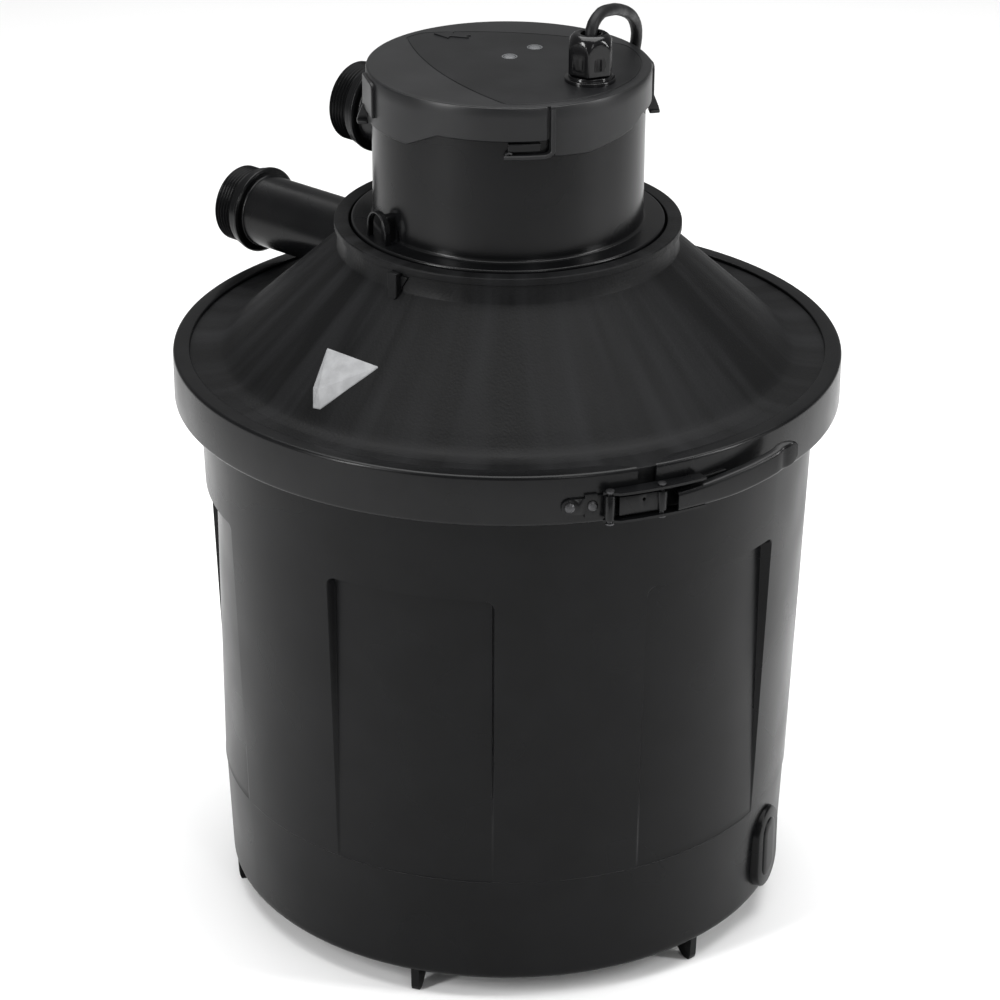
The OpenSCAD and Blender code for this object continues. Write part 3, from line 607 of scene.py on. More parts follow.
def lever_plate(z):
    """A side plate with a round eye at the pivot, narrowing into the grip."""
    eye = polar(PIN_R, math.radians(PIVOT))
    outline = [eye + polar(EYE_R, math.radians(PIVOT + 100 + 20 * k)) for k in range(9)]
    outer = [polar(PIN_R + 3.2, math.radians(a)) for a in linspace(PIVOT + 1.5, -58, 10)]
    inner = [polar(PIN_R - 3, math.radians(a)) for a in linspace(-58, PIVOT + 1.5, 10)]
    return prism("plate", [(p.x, p.y) for p in hull_2d(outline + outer + inner)], z, z + PLATE)


def make_grip():
    """A folded channel that bows outward; its end is closed and slightly wider."""
    rows = []
    for a in linspace(GRIP_FROM, GRIP_TO, 44):
        t = (a - GRIP_FROM) / (GRIP_TO - GRIP_FROM)
        mid = GRIP_Z + 4 * t + 6.5 * t ** 3
        half = 5.8 + 1.2 * ease(t, 0, 0.5) + 0.5 * ease(t, 0.8, 0.95)
        half *= math.sqrt(max(0.05, 1 - max(0, (t - 0.93) / 0.07) ** 2 * 0.75))
        out_r = GRIP_R + bow(a) - 0.9 * math.exp(-((t - 0.88) / 0.03) ** 2)
        in_r = out_r - 5.4 * (1 - 0.75 * ease(t, 0.9, 1))
        low, high, back = mid - half + GRIP_WALL, mid + half - GRIP_WALL, out_r - GRIP_WALL
        section = rounded([(in_r, mid - half), (out_r, mid - half), (out_r, mid + half), (in_r, mid + half),
                           (in_r, high), (back, high), (back, low), (in_r, low)],
                          [0.4, 2.4, 2.4, 0.4, 0.4, 1.2, 1.2, 0.4], 4, closed=True)
        rows.append([polar(r, math.radians(a), z) for r, z in section])
    return clean(grid_mesh("grip", rows, caps=True))


plates = [lever_plate(LEVER_LOW), lever_plate(LEVER_HIGH - PLATE)]
lever = bevelled(join("lever", [*plates, make_grip()]), 0.25, 2, 50)

# ---- UV head: base disc, wall, bayonet lugs and the release tab ----

DISC_R, BASE_H = 92.2, 5
SPIGOT_R, SPIGOT_IN, SPIGOT_H = 69.4, 66, 14
LUG_LOW, LUG_HIGH = 499.8, 504.6
TAB_DIR, TAB_Z, TAB_R = -149, 440, 10.2


def make_head():
    """The base disc with its spigot below, and the round wall on it."""
    outline = rounded([(26, Z_DISC), (SPIGOT_IN, Z_DISC), (SPIGOT_IN, Z_DISC - SPIGOT_H),
                       (SPIGOT_R, Z_DISC - SPIGOT_H), (SPIGOT_R, Z_DISC), (DISC_R, Z_DISC), (DISC_R, Z_HEAD),
                       (HEAD_R, Z_HEAD), (HEAD_R, Z_HEAD_TOP), (HEAD_IN, Z_HEAD_TOP),
                       (HEAD_IN, Z_DISC + BASE_H), (26, Z_DISC + BASE_H)],
                      [0, 0, 0, 0, 0, 0.8, 1.4, 2, 0.8, 0.5, 0, 0], 5, closed=True)
    return lathe("uv_head", outline, 240)


def make_lugs():
    """The lugs on the head's wall that the cap's hooks catch."""
    box = [(78, LUG_LOW), (82.1, LUG_LOW), (82.1, LUG_HIGH), (78, LUG_HIGH)]
    parts = [lathe("lug", box, 12, a0=math.radians(a - 17), a1=math.radians(a - 4)) for a in HOOKS]
    return bevelled(join("bayonet_lugs", parts), 0.5)


def make_release_tab():
    """A hollow arch on edge, with a block that ties it to the wall."""
    arch = [Vector((0, TAB_R * math.cos(t), TAB_Z + TAB_R * math.sin(t))) for t in linspace(math.pi, 0, 25)]
    path = [Vector((0, -TAB_R, TAB_Z - 8)), *arch, Vector((0, TAB_R, TAB_Z - 8))]
    section = [(84.6, -0.8), (88.4, -0.8), (88.4, 0.8), (84.6, 0.8)]
    rows = []
    for i, p in enumerate(path):
        along = (path[min(i + 1, len(path) - 1)] - path[max(i - 1, 0)]).normalized()
        side = along.cross(Vector((1, 0, 0)))
        rows.append([p + Vector((x, 0, 0)) + w * side for x, w in section])
    rib = clean(grid_mesh("arch", rows, caps=True))
    rib.data.transform(at(0, TAB_DIR))
    foot = rounded([(78, -3.2), (85.4, -3.2), (85.4, 3.2), (78, 3.2)], 1, closed=True)
    block = prism("block", foot, TAB_Z - 8, TAB_Z + 9, at(0, TAB_DIR + 2.4))
    return bevelled(join("release_tab", [rib, block]), 0.5)


head = make_head()
lugs = make_lugs()
tab = make_release_tab()

# ---- Cap: crowned top with a let-in panel, lobed skirt, hooks and grips ----

CAP_UNDER = Z_CAP_TOP - 3
GROOVE = 0.9
PANEL_ARCS = ((0, 0, 76), (184, 88, 247.5), (-20, -112, 171))  # each (centre x, centre y, radius)
PANEL_HUB = Vector((12, 2, 0))
PANEL_SOFT = 0.8


def panel_reach(angle, grow=0.0):
    """Distance from the panel's hub to its edge in a direction, the edge moved outward by grow."""
    d = Vector((math.cos(angle), math.sin(angle), 0))
    best = []
    for cx, cy, r in PANEL_ARCS:
        w = PANEL_HUB - Vector((cx, cy, 0))
        b = w.dot(d)
        best.append(-b + math.sqrt(b * b - w.dot(w) + (r + grow) ** 2))
    soft = [math.exp(-(reach - min(best)) / PANEL_SOFT) for reach in best]
    return min(best) - PANEL_SOFT * math.log(sum(soft))


def panel_ring(scale, z, grow=0.0, n=240):
    """The panel's outline, scaled about its hub."""
    out = []
    for k in range(n):
        t = TAU * k / n
        out.append(PANEL_HUB + polar(scale * panel_reach(t, grow), t, z))
    return out


def rim_ring(r, z, n=240):
    """A circle about the tank's axis with its points in the same directions from the hub."""
    out = []
    for k in range(n):
        t = TAU * k / n
        b = PANEL_HUB.dot(polar(1, t))
        reach = -b + math.sqrt(b * b - PANEL_HUB.dot(PANEL_HUB) + r * r)
        out.append(PANEL_HUB + polar(reach, t, z))
    return out


def skirt_edge(a):
    """Height of the skirt's lower edge at angle a in degrees, -180 to 180."""
    lobe = min(9.4 + 0.065 * (a + 72), 6 - 0.59 * (a + 33.7), 3.6 - 0.24 * (a + 28))
    right = ease(a, -72.6, -71.6) * max(0, lobe)
    left = ease(a, -170, -165) * (1 - min(1, max(0, (a + 134) / 15))) * 9.5
    return Z_SKIRT - right - left


def make_cap():
    """Crown with the panel's recess, skirt with a slit beside each hook, and the underside."""
    crown, recess = Z_CAP_TOP, Z_CAP_TOP - GROOVE
    rows = [rim_ring(CAP_R - 1, crown - 0.3), rim_ring(80.2, crown), rim_ring(78.6, crown),
            panel_ring(1, crown, 0.75), panel_ring(1, recess, 0.65), panel_ring(0.9, recess),
            panel_ring(0.02, recess)]
    top = clean(grid_mesh("top", rows, caps=True))
    slits = [math.radians(a - 0.9) for a in HOOKS]
    angles = set(linspace(-math.pi, math.pi, 289)[:-1])
    for s in slits:
        angles = {a for a in angles if abs(a - s) > 0.03}
        angles |= {s + d for d in (-0.02, -0.013, -0.011, -0.005, 0.005, 0.011, 0.013, 0.02)}
    for a in (-72.6, -72.3, -71.9, -71.6):
        angles.add(math.radians(a))
    angles = sorted(angles)
    rows = []
    for a in angles:
        low = skirt_edge(math.degrees(a))
        slit_cut = max(1 - ease(abs(a - s), 0.0105, 0.0135) for s in slits)
        outer = CAP_R - slit_cut * 2.3
        edge = outer - 0.5 * (outer > CAP_R - 0.6)
        section = [(80.4, CAP_UNDER), (81.4, crown - 0.4), (edge, crown - 0.7), (outer, crown - 1.9)]
        section += [(outer, crown - 2 + (low + 2 - crown) * t) for t in (0.25, 0.5, 0.75)]
        section += [(outer, low + 0.5), (outer - 0.4, low), (CAP_IN + 0.2, low), (CAP_IN, low + 0.4),
                    (CAP_IN, CAP_UNDER)]
        rows.append([polar(r, a, z) for r, z in section])
    skirt = clean(grid_mesh("skirt", rows, closed_u=True, closed_v=True))
    under = lathe("underside", [(0, CAP_UNDER), (81, CAP_UNDER), (81, crown - 1.4), (0, crown - 1.4)], 96)
    return join("cap", [top, skirt, under])


def wrapped_bar(path, width, r0, r1, edge=0.45):
    """A bar laid on a cylinder: path is (angle in degrees, z), with a rounded rectangular section."""
    flat = [Vector((math.radians(a) * r0, z, 0)) for a, z in path]
    rows = []
    for i, p in enumerate(flat):
        along = (flat[min(i + 1, len(flat) - 1)] - flat[max(i - 1, 0)]).normalized()
        side = Vector((-along.y, along.x, 0))
        w = width / 2
        row = []
        for off, r in ((-w, r0), (-w, r1 - edge), (edge - w, r1), (w - edge, r1), (w, r1 - edge), (w, r0)):
            q = p + off * side
            row.append(polar(r, q.x / r0, q.y))
        rows.append(row)
    return clean(grid_mesh("bar", rows, caps=True))


HOOK_Z = 497


def make_hooks():
    """Two L-shaped hooks, each with a small barb that stops it behind its lug."""
    parts = []
    for a in HOOKS:
        bend = [(a - 3.1 + 3.7 * math.sin(t), HOOK_Z + 3.4 - 3.4 * math.cos(t))
                for t in linspace(math.pi / 2, 0, 8)]
        path = [(a + 0.6, Z_CAP_TOP - 1.8), (a + 0.6, 515), (a + 0.6, Z_SKIRT), *bend, (a - 10, HOOK_Z),
                (a - 18.5, HOOK_Z)]
        parts.append(wrapped_bar(path, 2.6, CAP_IN, 84.2))
        barb = [(a - 15.5, HOOK_Z + 2), (a - 16.5, HOOK_Z + 2.6), (a - 18, HOOK_Z + 1.6)]
        parts.append(wrapped_bar(barb, 1.4, CAP_IN + 0.4, 83.4))
    return join("cap_hooks", parts)


THUMB_WIDE = 18  # degrees of the cap's rim that a grip's plate covers
THUMB_LOW, THUMB_HIGH, THUMB_FOOT = 502.5, 523.2, 494


def make_grips():
    """Two thumb grips at the cap's sides, each a plate and a fin on a shelf, and two nibs at its back."""
    parts = []
    for start, fin_at in ((-175, -172.5), (4, 5.5)):
        end = start + THUMB_WIDE
        outline = rounded([(start, THUMB_LOW), (end, THUMB_LOW), (end, THUMB_HIGH), (start, THUMB_HIGH)],
                          [0.8, 0.8, 4, 4], 5, closed=True)
        rows = [[polar(r, math.radians(a), z) for a, z in outline] for r in (81, 84.2)]
        mid, mid_z, shrink = start + THUMB_WIDE / 2, 512.8, 0.97
        rows.append([polar(84.6, math.radians(mid + (a - mid) * shrink), mid_z + (z - mid_z) * shrink)
                     for a, z in outline])
        parts.append(clean(grid_mesh("grip_plate", rows, caps=True)))
        fin = rounded([(82, THUMB_FOOT), (88.4, THUMB_FOOT), (87.6, THUMB_FOOT + 3.5), (84.8, THUMB_FOOT + 10.5),
                       (82, THUMB_FOOT + 10.5)], [0, 0.5, 1, 1, 0], closed=True)
        parts.append(prism("fin", fin, -1.2, 1.2, at(0, fin_at) @ UPRIGHT))
        shelf = rounded([(82, -3), (88.2, -2), (88.2, 5), (82, 6)], 1.2, closed=True)
        parts.append(prism("shelf", shelf, THUMB_FOOT, THUMB_FOOT + 1.6, at(0, fin_at)))
    for a in (58, 124):
        small = rounded([(80, 511), (85.4, 511), (84.4, 519), (80, 521)], 0.8, closed=True)
        parts.append(prism("nib", small, -3, 3, at(0, a) @ UPRIGHT))
    return bevelled(join("cap_grips", parts), 0.3)


def make_panel():
    """The let-in panel, slightly crowned, with a raised plain arrow."""
    top = Z_CAP_TOP + 0.1
    rings = [(1, -1, -0.1), (1, -0.3, 0), (1, 0, -0.35), (0.85, 0.12, -0.35), (0.4, 0.3, -0.35),
             (0.02, 0.3, -0.35)]
    rows = [panel_ring(scale, top + up, grow) for scale, up, grow in rings]
    plate = clean(grid_mesh("plate", rows, caps=True))
    arrow = [(-11, -2.6), (1, -2.6), (1, -6.5), (12, 0), (1, 6.5), (1, 2.6), (-11, 2.6), (-7.5, 0)]
    turned = Matrix.Translation(Vector((-33, 50, 0)) * MM) @ Matrix.Rotation(math.radians(165), 4, "Z")
    raised = prism("arrow", rounded(arrow, 0.5, 3, closed=True), top - 0.2, top + 0.9, turned)
    return bevelled(join("cap_leaf", [plate, raised]), 0.25, 2, 50)


def make_lens(name, x, y):
    """A low domed button with a rolled rim, let into the panel at (x, y)."""
    z = Z_CAP_TOP + 0.2
    outline = [(0, z - 1), (4.6, z - 1), (4.6, z + 0.3), (4.3, z + 0.5), (3.9, z + 0.4), (3.6, z),
               (3.2, z + 0.25), (2.2, z + 0.6), (1, z + 0.75), (0, z + 0.8)]
    return lathe(name, outline, 48, Matrix.Translation(Vector((x, y, 0)) * MM))


cap = make_cap()
hooks = make_hooks()
grips = make_grips()
panel = make_panel()
lens_1 = make_lens("lens_1", 0.4, 10)
lens_2 = make_lens("lens_2", 15, 28)

# ---- Cable gland: washer, threaded body and the ribbed, domed nut ----

NUT_TURN = math.radians(25)
NUT_FLAT, NUT_CORNER = 11.9, 13.55
NUT_BORE, NUT_MOUTH = 5.6, 7.4
Z_NUT, Z_DOME, DOME_H = 531, 543.5, 10.6


def nut_radius(t, z):
    """A hexagon with fine upright ribs on its flats, rounding into a dome above."""
    flat = (t - NUT_TURN) % (TAU / 6) - TAU / 12
    hexagon = min(NUT_FLAT / math.cos(flat), NUT_CORNER)
    on_flat = (1 - ease(abs(flat), 0.24, 0.36)) * ease(z, 533, 534) * (1 - ease(z, 542, 544))
    ribs = 0.22 * math.cos(flat * 90) * on_flat
    dome = 13.5
    if z > Z_DOME:
        dome = NUT_MOUTH + 6.2 * math.sqrt(max(0, 1 - ((z - Z_DOME) / DOME_H) ** 2))
    return min(hexagon + ribs, dome)


def make_nut():
    """The nut's skin from its bore at the foot, up its flats, over the dome and back into the bore."""
    turns = [TAU * k / 288 for k in range(288)]
    heights = [Z_NUT, 531.5, 532.5, 533.5, 535, 537, 539, 541, 543, 544.2, 545.4, 546.6, 548, 549.4, 550.8,
               552, 553, 553.7]
    rows = [[polar(NUT_BORE, t, Z_NUT + 0.6) for t in turns]]
    rows += [[polar(nut_radius(t, z) - (0.5 if z == Z_NUT else 0), t, z) for t in turns] for z in heights]
    rows += [[polar(r, t, z) for t in turns] for r, z in ((7, 554), (6, 553.6), (NUT_BORE, 552.6))]
    made = grid_mesh("gland_cap", rows, closed_u=True, closed_v=True)
    made.data.transform(Matrix.Translation(GLAND * MM))
    return smooth(clean(made), 40)


def make_gland_body():
    """The washer on the cap, the threaded body above it and the part that hangs below the cap."""
    bore, root, crest = 4.2, 9.2, 10.2
    outline = rounded([(bore, 517.5), (9.4, 517.5), (9.4, 522.4), (6, CAP_UNDER), (6, Z_CAP_TOP),
                       (14.6, Z_CAP_TOP), (14.4, 528.2), (12.6, 528.4), (12.4, 530), (9.6, 530.2)],
                      [0, 0, 0, 0, 0, 0, 0.5, 0.2, 0.4, 0])
    for k in range(2):
        foot = 530.4 + 1.5 * k
        outline += [(root, foot), (crest, foot + 0.6), (root, foot + 1.2)]
    outline += [(root, 534.4), (bore, 534.4)]
    return lathe("gland_seat", outline, 96, Matrix.Translation(GLAND * MM))


nut = make_nut()
gland_seat = make_gland_body()

# ---- Plug at the cord's far end ----

PLUG_LEN = 46
RIBS_FROM, RIBS_TO = 24, 40


def make_plug():
    """A round two-pin plug lying on its side: ribbed collar, body and face."""
    collar = [(3.6, 0), (4.8, 0.4), (5, 3), (5.6, 4), (5.2, 5.4), (5.9, 6.6), (5.6, 8), (6.6, 9.6),
              (8.4, 13.4), (12.6, 17.8)]
    side = [(PLUG_R, z) for z in (21, RIBS_FROM, 26, 32, 38, RIBS_TO, 43)]
    face = [(12.6, PLUG_LEN - 0.2), (0, PLUG_LEN), (0, 2), (3.6, 2)]
    body = rounded(collar + side + face, 0.9, 3, closed=True)
    place = Matrix.Translation(Vector((COIL_X - 52, COIL_Y + COIL_R + 2, PLUG_R)) * MM)
    place @= Matrix.Rotation(math.radians(-90), 4, "Y")

    def grooved(r, z, a):
        if RIBS_FROM < z < RIBS_TO and r > PLUG_R - 1:
            fade = ease(z, RIBS_FROM, RIBS_FROM + 2) * (1 - ease(z, RIBS_TO - 2, RIBS_TO))
            r -= 0.5 * max(0, math.cos(24 * a)) * fade
        return r, z

    return lathe("plug_body", body, 144, place, shape=grooved), place


def make_pins(place):
    """Two round pins, 19 mm apart, that stand 18 mm out of the plug's face."""
    parts = []
    pin = rounded([(0, PLUG_LEN - 1), (2.4, PLUG_LEN - 1), (2.4, PLUG_LEN + 18), (0, PLUG_LEN + 18)],
                  [0, 0, 1.2, 0], 5)
    for y in (-9.5, 9.5):
        move = Matrix.Translation(Vector((0, y, 0)) * MM)
        parts.append(lathe("pin", pin, 32, place @ move))
    return join("plug_pins", parts)


plug, plug_place = make_plug()
plug_pins = make_pins(plug_place)

# ---- Foam rings: open-cell rings with softly crowned, slightly uneven sides ----


FOAM_COUNT, FOAM_H, FOAM_FROM = 5, 50, 34
FOAM_R, FOAM_BORE, FOAM_CROWN = 157.4, 25.6, 2.6


def make_foam(k):
    """Ring k of the stack, counted from the bottom."""
    z0 = FOAM_FROM + FOAM_H * k
    z1 = z0 + FOAM_H
    outline = [(FOAM_BORE, z0 + 0.6)]
    outline += [(r, z0 + 0.3) for r in linspace(40, 150, 6)]
    outline += [(FOAM_R - FOAM_CROWN * (2 * t - 1) ** 4, z0 + 0.4 + (FOAM_H - 0.8) * t)
                for t in linspace(0, 1, 11)]
    outline += [(r, z1 - 0.3) for r in linspace(150, 40, 6)]
    outline += [(FOAM_BORE, z1 - 0.6)]

    def uneven(r, z, a):
        if r > 152:
            r -= 0.5 + 0.5 * noise.noise(Vector((r * math.cos(a), r * math.sin(a), z)) / 14)
        return r, z

    return lathe(f"foam_{k + 1}", outline, 160, shape=uneven)


foams = [make_foam(k) for k in range(FOAM_COUNT)]

# ---- Materials: every one is a Principled surface with its own grain, sheen and unevenness ----


class Finish:
    """A node material that is built up step by step round one Principled shader."""

    def __init__(self, name, colour, rough, metallic=0.0, coat=0.0, specular=0.5):
        self.material = bpy.data.materials.new(name)
        self.material.use_nodes = True
        tree = self.material.node_tree
        self.nodes, self.links = tree.nodes, tree.links
        self.shader = self.nodes["Principled BSDF"]
        self.shader.inputs["Base Color"].default_value = (*colour, 1)
        self.shader.inputs["Roughness"].default_value = rough
        self.shader.inputs["Metallic"].default_value = metallic
        self.shader.inputs["Coat Weight"].default_value = coat
        self.shader.inputs["Coat Roughness"].default_value = 0.12
        self.shader.inputs["Specular IOR Level"].default_value = specular
        self.colour, self.rough = colour, rough
        self.place = self.add("ShaderNodeTexCoord").outputs["Object"]
        self.height = None

    def add(self, kind, **settings):
        node = self.nodes.new(kind)
        for key, value in settings.items():
            setattr(node, key, value)
        return node

    def noise(self, scale, detail=3.0, stretch=None, source=None):
        """A noise value; scale is in cycles a metre, and stretch squeezes it along an axis."""
        source = source or self.place
        if stretch:
            mapping = self.add("ShaderNodeMapping")
            mapping.inputs["Scale"].default_value = stretch
            self.links.new(source, mapping.inputs["Vector"])
            source = mapping.outputs["Vector"]
        node = self.add("ShaderNodeTexNoise")
        node.inputs["Scale"].default_value = scale
        node.inputs["Detail"].default_value = detail
        self.links.new(source, node.inputs["Vector"])
        return node.outputs["Fac"]

    def cells(self, scale, feature="F1"):
        """A distance within cells of 1/scale metres."""
        node = self.add("ShaderNodeTexVoronoi", feature=feature)
        node.inputs["Scale"].default_value = scale
        self.links.new(self.place, node.inputs["Vector"])
        return node.outputs["Distance"]

    def span(self, value, low, high, start=0.35, end=0.65):
        """Maps value from start..end to low..high."""
        node = self.add("ShaderNodeMapRange")
        for key, number in (("From Min", start), ("From Max", end), ("To Min", low), ("To Max", high)):
            node.inputs[key].default_value = number
        self.links.new(value, node.inputs["Value"])
        return node.outputs["Result"]

    def vary_colour(self, value, darker, lighter, start=0.35, end=0.65):
        """The base colour runs between two shades as value goes from start to end."""
        ramp = self.add("ShaderNodeValToRGB")
        ramp.color_ramp.elements[0].position = start
        ramp.color_ramp.elements[1].position = end
        ramp.color_ramp.elements[0].color = (*[c * darker for c in self.colour], 1)
        ramp.color_ramp.elements[1].color = (*[c * lighter for c in self.colour], 1)
        self.links.new(value, ramp.inputs["Fac"])
        self.links.new(ramp.outputs["Color"], self.shader.inputs["Base Color"])
        return self

    def vary_rough(self, value, spread):
        """The roughness runs spread to either side of its base as value changes."""
        varied = self.span(value, self.rough - spread, self.rough + spread)
        self.links.new(varied, self.shader.inputs["Roughness"])
        return self

    def bump(self, value, depth, strength=1.0):
        """Relief of the given depth in millimetres, stacked on any before it."""
        node = self.add("ShaderNodeBump")
        node.inputs["Distance"].default_value = depth * MM
        node.inputs["Strength"].default_value = strength
        self.links.new(value, node.inputs["Height"])
        if self.height:
            self.links.new(self.height, node.inputs["Normal"])
        self.height = node.outputs["Normal"]
        self.links.new(self.height, self.shader.inputs["Normal"])
        return self

    def around(self):
        """A coordinate that runs round the tank's axis, so that a noise in it makes radial streaks."""
        split = self.add("ShaderNodeSeparateXYZ")
        self.links.new(self.place, split.inputs["Vector"])
        turn = self.add("ShaderNodeMath", operation="ARCTAN2")
        self.links.new(split.outputs["Y"], turn.inputs[0])
        self.links.new(split.outputs["X"], turn.inputs[1])
        sine = self.add("ShaderNodeMath", operation="SINE")
        cosine = self.add("ShaderNodeMath", operation="COSINE")
        self.links.new(turn.outputs["Value"], sine.inputs[0])
        self.links.new(turn.outputs["Value"], cosine.inputs[0])
        joined = self.add("ShaderNodeCombineXYZ")
        self.links.new(cosine.outputs["Value"], joined.inputs["X"])
        self.links.new(sine.outputs["Value"], joined.inputs["Y"])
        self.links.new(split.outputs["Z"], joined.inputs["Z"])
        return joined.outputs["Vector"]


def moulded(name, colour, rough, grain, depth, spread=0.05, patch=14, specular=0.12):
    """Black moulded plastic: a fine spark-eroded grain, and soft patches of sheen and shade."""
    f = Finish(name, colour, rough, specular=specular)
    patches = f.noise(patch, 2)
    f.vary_rough(patches, spread)
    f.vary_colour(f.noise(patch * 2.3, 4), 0.82, 1.22)
    f.bump(f.noise(grain, 2), depth)
    f.bump(f.noise(38, 2), 0.12, 0.35)
    return f


def leathery():
    """The lid's coarse, leather-like grain with soft radial streaks from the moulding."""
    f = Finish("lid_grain", (0.0042, 0.0043, 0.0046), 0.5, specular=0.12)
    streaks = f.noise(7, 3, source=f.around())
    f.vary_colour(streaks, 0.7, 2.3, 0.42, 0.72)
    f.vary_rough(streaks, 0.07)
    f.bump(f.cells(720, "SMOOTH_F1"), 0.13, 0.7)
    f.bump(f.noise(1500, 3), 0.05, 0.8)
    f.bump(f.noise(60, 3), 0.25, 0.35)
    return f


def painted_metal():
    """Glossy black powder coat over sheet steel, with its faint orange peel."""
    f = Finish("band_enamel", (0.003, 0.0031, 0.0034), 0.3, coat=0.08, specular=0.15)
    f.vary_rough(f.noise(22, 2), 0.05)
    f.vary_colour(f.noise(60, 3), 0.85, 1.2)
    f.bump(f.noise(420, 1), 0.03, 0.6)
    return f


def worn_metal(name, colour, rough):
    """Bare or plated steel with fine draw marks and dull spots."""
    f = Finish(name, colour, rough, metallic=0.9)
    f.vary_rough(f.noise(300, 3), 0.09)
    f.vary_colour(f.noise(180, 4), 0.7, 1.3)
    f.bump(f.noise(900, 2, stretch=(1, 1, 6)), 0.03)
    return f


def foam_cells(name, colour):
    """Open-cell foam: pale struts round cells whose hollows carry painted shade."""
    f = Finish(name, colour, 0.95, specular=0.1)
    pores = f.cells(620)
    # painted shade: each cell's hollow is coloured darker than the raised struts round it
    f.vary_colour(pores, 0.25, 1.35, 0.15, 0.7)
    f.bump(pores, 1.1, 1.0)
    f.bump(f.noise(90, 3), 0.8, 0.5)
    return f


def marker_grey():
    """Light grey painted plastic, scuffed a little and unevenly toned."""
    f = Finish("marker_paint", (0.25, 0.253, 0.258), 0.5, specular=0.3)
    f.vary_colour(f.noise(120, 5), 0.86, 1.1)
    f.vary_rough(f.noise(60, 3), 0.08)
    f.bump(f.noise(700, 3), 0.05)
    return f


def cord_rubber():
    """The lead's soft black jacket, slightly dull, with faint draw lines along its length."""
    f = Finish("cord_jacket", (0.004, 0.004, 0.0045), 0.5, specular=0.2)
    f.vary_rough(f.noise(120, 3), 0.08)
    f.vary_colour(f.noise(45, 3), 0.8, 1.35)
    f.bump(f.noise(1400, 2), 0.04)
    return f


def see_through(name, colour, rough, transmission):
    """Quartz or lamp glass; transmission is the share of light that passes through."""
    f = Finish(name, colour, rough)
    f.shader.inputs["Transmission Weight"].default_value = transmission
    f.shader.inputs["IOR"].default_value = 1.46
    f.vary_rough(f.noise(40, 3), 0.02)
    f.bump(f.noise(90, 1), 0.03, 0.3)
    return f


def green_board():
    """Solder mask with copper tracks that show through as paler green."""
    f = Finish("circuit_board", (0.02, 0.12, 0.05), 0.35)
    f.vary_colour(f.cells(260, "DISTANCE_TO_EDGE"), 1.9, 0.8, 0.03, 0.08)
    f.bump(f.cells(260, "DISTANCE_TO_EDGE"), 0.08)
    return f


FINISHES = {
    "tank_plastic": moulded("tank_black", (0.0028, 0.0029, 0.0032), 0.3, 1300, 0.035),
    "lid_plastic": leathery(),
    "head_plastic": moulded("head_black", (0.003, 0.0031, 0.0034), 0.25, 1500, 0.03, specular=0.2),
    "cap_plastic": moulded("cap_black", (0.0085, 0.0087, 0.0093), 0.38, 1700, 0.04, specular=0.28),
    "panel_plastic": moulded("panel_black", (0.007, 0.0072, 0.0077), 0.42, 2100, 0.045, specular=0.16),
    "marker_plastic": marker_grey(),
    "seal_rubber": moulded("seal_rubber", (0.006, 0.006, 0.006), 0.62, 900, 0.05),
    "black_metal": painted_metal(),
    "rivet_metal": worn_metal("rivet_steel", (0.05, 0.05, 0.052), 0.36),
    "inner_plastic": moulded("inner_plastic", (0.035, 0.036, 0.038), 0.48, 1100, 0.05),
    "foam_blue": foam_cells("foam_blue", (0.05, 0.16, 0.33)),
    "foam_dark": foam_cells("foam_dark", (0.06, 0.065, 0.07)),
    "lens_plastic": moulded("lens_plastic", (0.085, 0.087, 0.09), 0.35, 1600, 0.02),
    "gland_plastic": moulded("gland_nylon", (0.003, 0.003, 0.0034), 0.2, 1200, 0.025, specular=0.35),
    "quartz": see_through("quartz_glass", (0.93, 0.97, 0.98), 0.06, 0.94),
    "lamp_white": see_through("lamp_glass", (0.86, 0.88, 0.9), 0.2, 0.25),
    "board_green": green_board(),
    "screw_steel": worn_metal("screw_steel", (0.55, 0.55, 0.56), 0.3),
    "cable_rubber": cord_rubber(),
    "plug_plastic": moulded("plug_rubber", (0.013, 0.013, 0.014), 0.46, 1000, 0.05),
}


def finish_piece(made, slot):
    made.data.materials.clear()
    made.data.materials.append(FINISHES[slot].material)


# ---- Rides: which body each piece moves with, what it stands for and its finish ----

PIECES = [
    (tank, "tank", "tank_plastic", ["tank_shell"]),
    (feet, "tank", "tank_plastic", []),
    (pad, "tank", "tank_plastic", []),
    (badge, "tank", "tank_plastic", []),
    (band, "tank", "black_metal", ["clamp_band"]),
    (lever, "lever", "black_metal", ["latch_lever"]),
    (lid, "lid", "lid_plastic", ["lid_cone"]),
    (inlet, "lid", "head_plastic", []),
    (pointer, "lid", "lid_plastic", []),
    (marker, "lid", "marker_plastic", ["direction_marker"]),
    (head, "head", "head_plastic", ["uv_housing"]),
    (outlet, "head", "head_plastic", []),
    (lugs, "head", "head_plastic", []),
    (tab, "head", "head_plastic", []),
    (cap, "cap", "cap_plastic", ["cap_shell"]),
    (hooks, "cap", "cap_plastic", []),
    (grips, "cap", "cap_plastic", []),
    (panel, "cap", "panel_plastic", ["cap_panel"]),
    (lens_1, "cap", "lens_plastic", ["status_lens_1"]),
    (lens_2, "cap", "lens_plastic", ["status_lens_2"]),
    (gland_seat, "cap", "gland_plastic", ["gland_washer", "gland_body"]),
    (nut, "cap", "gland_plastic", ["gland_nut"]),
    (cord, "cap", "cable_rubber", ["mains_cable", "cable_coil", "cable_tail"]),
    (plug, "cap", "plug_plastic", ["power_plug"]),
    (plug_pins, "cap", "screw_steel", []),
]
for k, foam in enumerate(foams):
    PIECES.append((foam, "tank", "foam_dark" if k % 2 else "foam_blue", [f"foam_ring_{k + 1}"]))

for made, body, slot_name, stands_for in PIECES:
    finish_piece(made, slot_name)
    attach(made, body)
    if stands_for:
        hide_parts(*stands_for)

# ---- The CAD nodes that stay: their slot's finish, and a small rounded edge on the latch ----

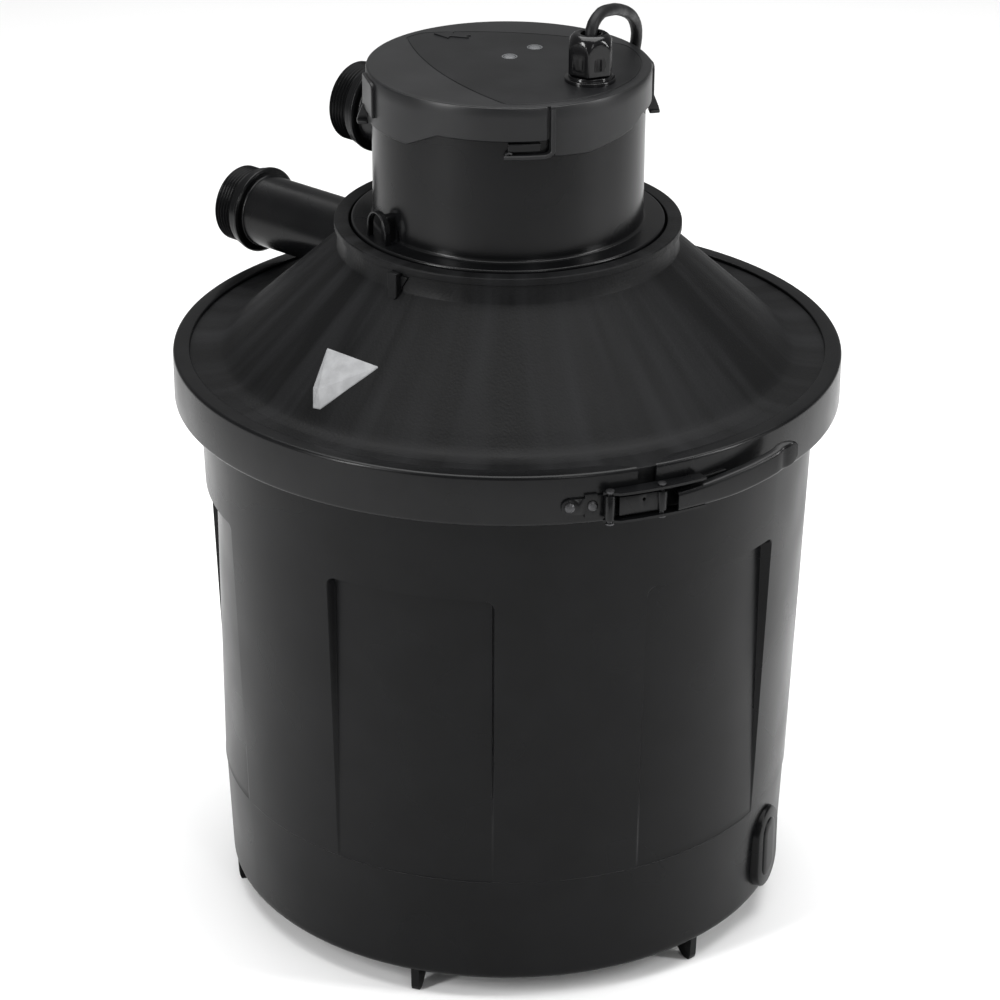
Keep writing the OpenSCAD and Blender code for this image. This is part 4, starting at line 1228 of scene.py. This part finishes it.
ROUNDED = {"latch_bracket": 0.35, "catch_bracket": 0.35, "draw_link": 0.3, "pivot_pin": 0.3, "link_pin": 0.3}
replaced = {name for piece in PIECES for name in piece[3]}
for entry in frame["record"]["subparts"]:
    name = entry["node"]
    if name not in replaced:
        nodes[name].data.materials.clear()
        nodes[name].data.materials.append(FINISHES[entry["material_slot"]].material)
for name, width in ROUNDED.items():
    bevelled(nodes[name], width, 2, 40)

# ---- Studio: pale floor, soft sky and large soft lights ----


FLOOR_HALF = 9
SKY_STRENGTH = 0.24
LIT_SPOT = (0, 0, 0.3)


def make_floor():
    """A pale painted floor, 18 m square, that only stages the filter."""
    h = FLOOR_HALF
    mesh = bpy.data.meshes.new("floor")
    mesh.from_pydata([(-h, -h, 0), (h, -h, 0), (h, h, 0), (-h, h, 0)], [], [(0, 1, 2, 3)])
    made = new_object("floor", mesh)
    paint = Finish("floor_paint", (0.93, 0.93, 0.93), 0.7, specular=0.2)
    paint.vary_colour(paint.noise(3, 2), 0.995, 1.0)
    mesh.materials.append(paint.material)


def soft_light(name, place, size, power):
    """A rectangular light at place that faces the filter, in metres and watts."""
    data = bpy.data.lights.new(name, "AREA")
    data.shape = "RECTANGLE"
    data.size, data.size_y = size
    data.energy = power
    made = bpy.data.objects.new(name, data)
    made.location = place
    made.rotation_euler = (Vector(LIT_SPOT) - Vector(place)).to_track_quat("-Z", "Y").to_euler()
    bpy.context.scene.collection.objects.link(made)


make_floor()
world = bpy.data.worlds.new("sky")
world.use_nodes = True
world.node_tree.nodes["Background"].inputs["Color"].default_value = (1, 1, 1, 1)
world.node_tree.nodes["Background"].inputs["Strength"].default_value = SKY_STRENGTH
bpy.context.scene.world = world
soft_light("top", (0.1, 0.3, 2.6), (2.6, 2.6), 96)
soft_light("left", (-1.75, -1.35, 1.3), (0.3, 1.6), 42)
soft_light("right", (2.2, -0.6, 1.3), (0.3, 1.6), 34)
soft_light("front", (0.95, -2.3, 1.6), (0.3, 1.4), 8)
bpy.context.scene.view_settings.view_transform = "Standard"
bpy.context.scene.view_settings.look = "None"
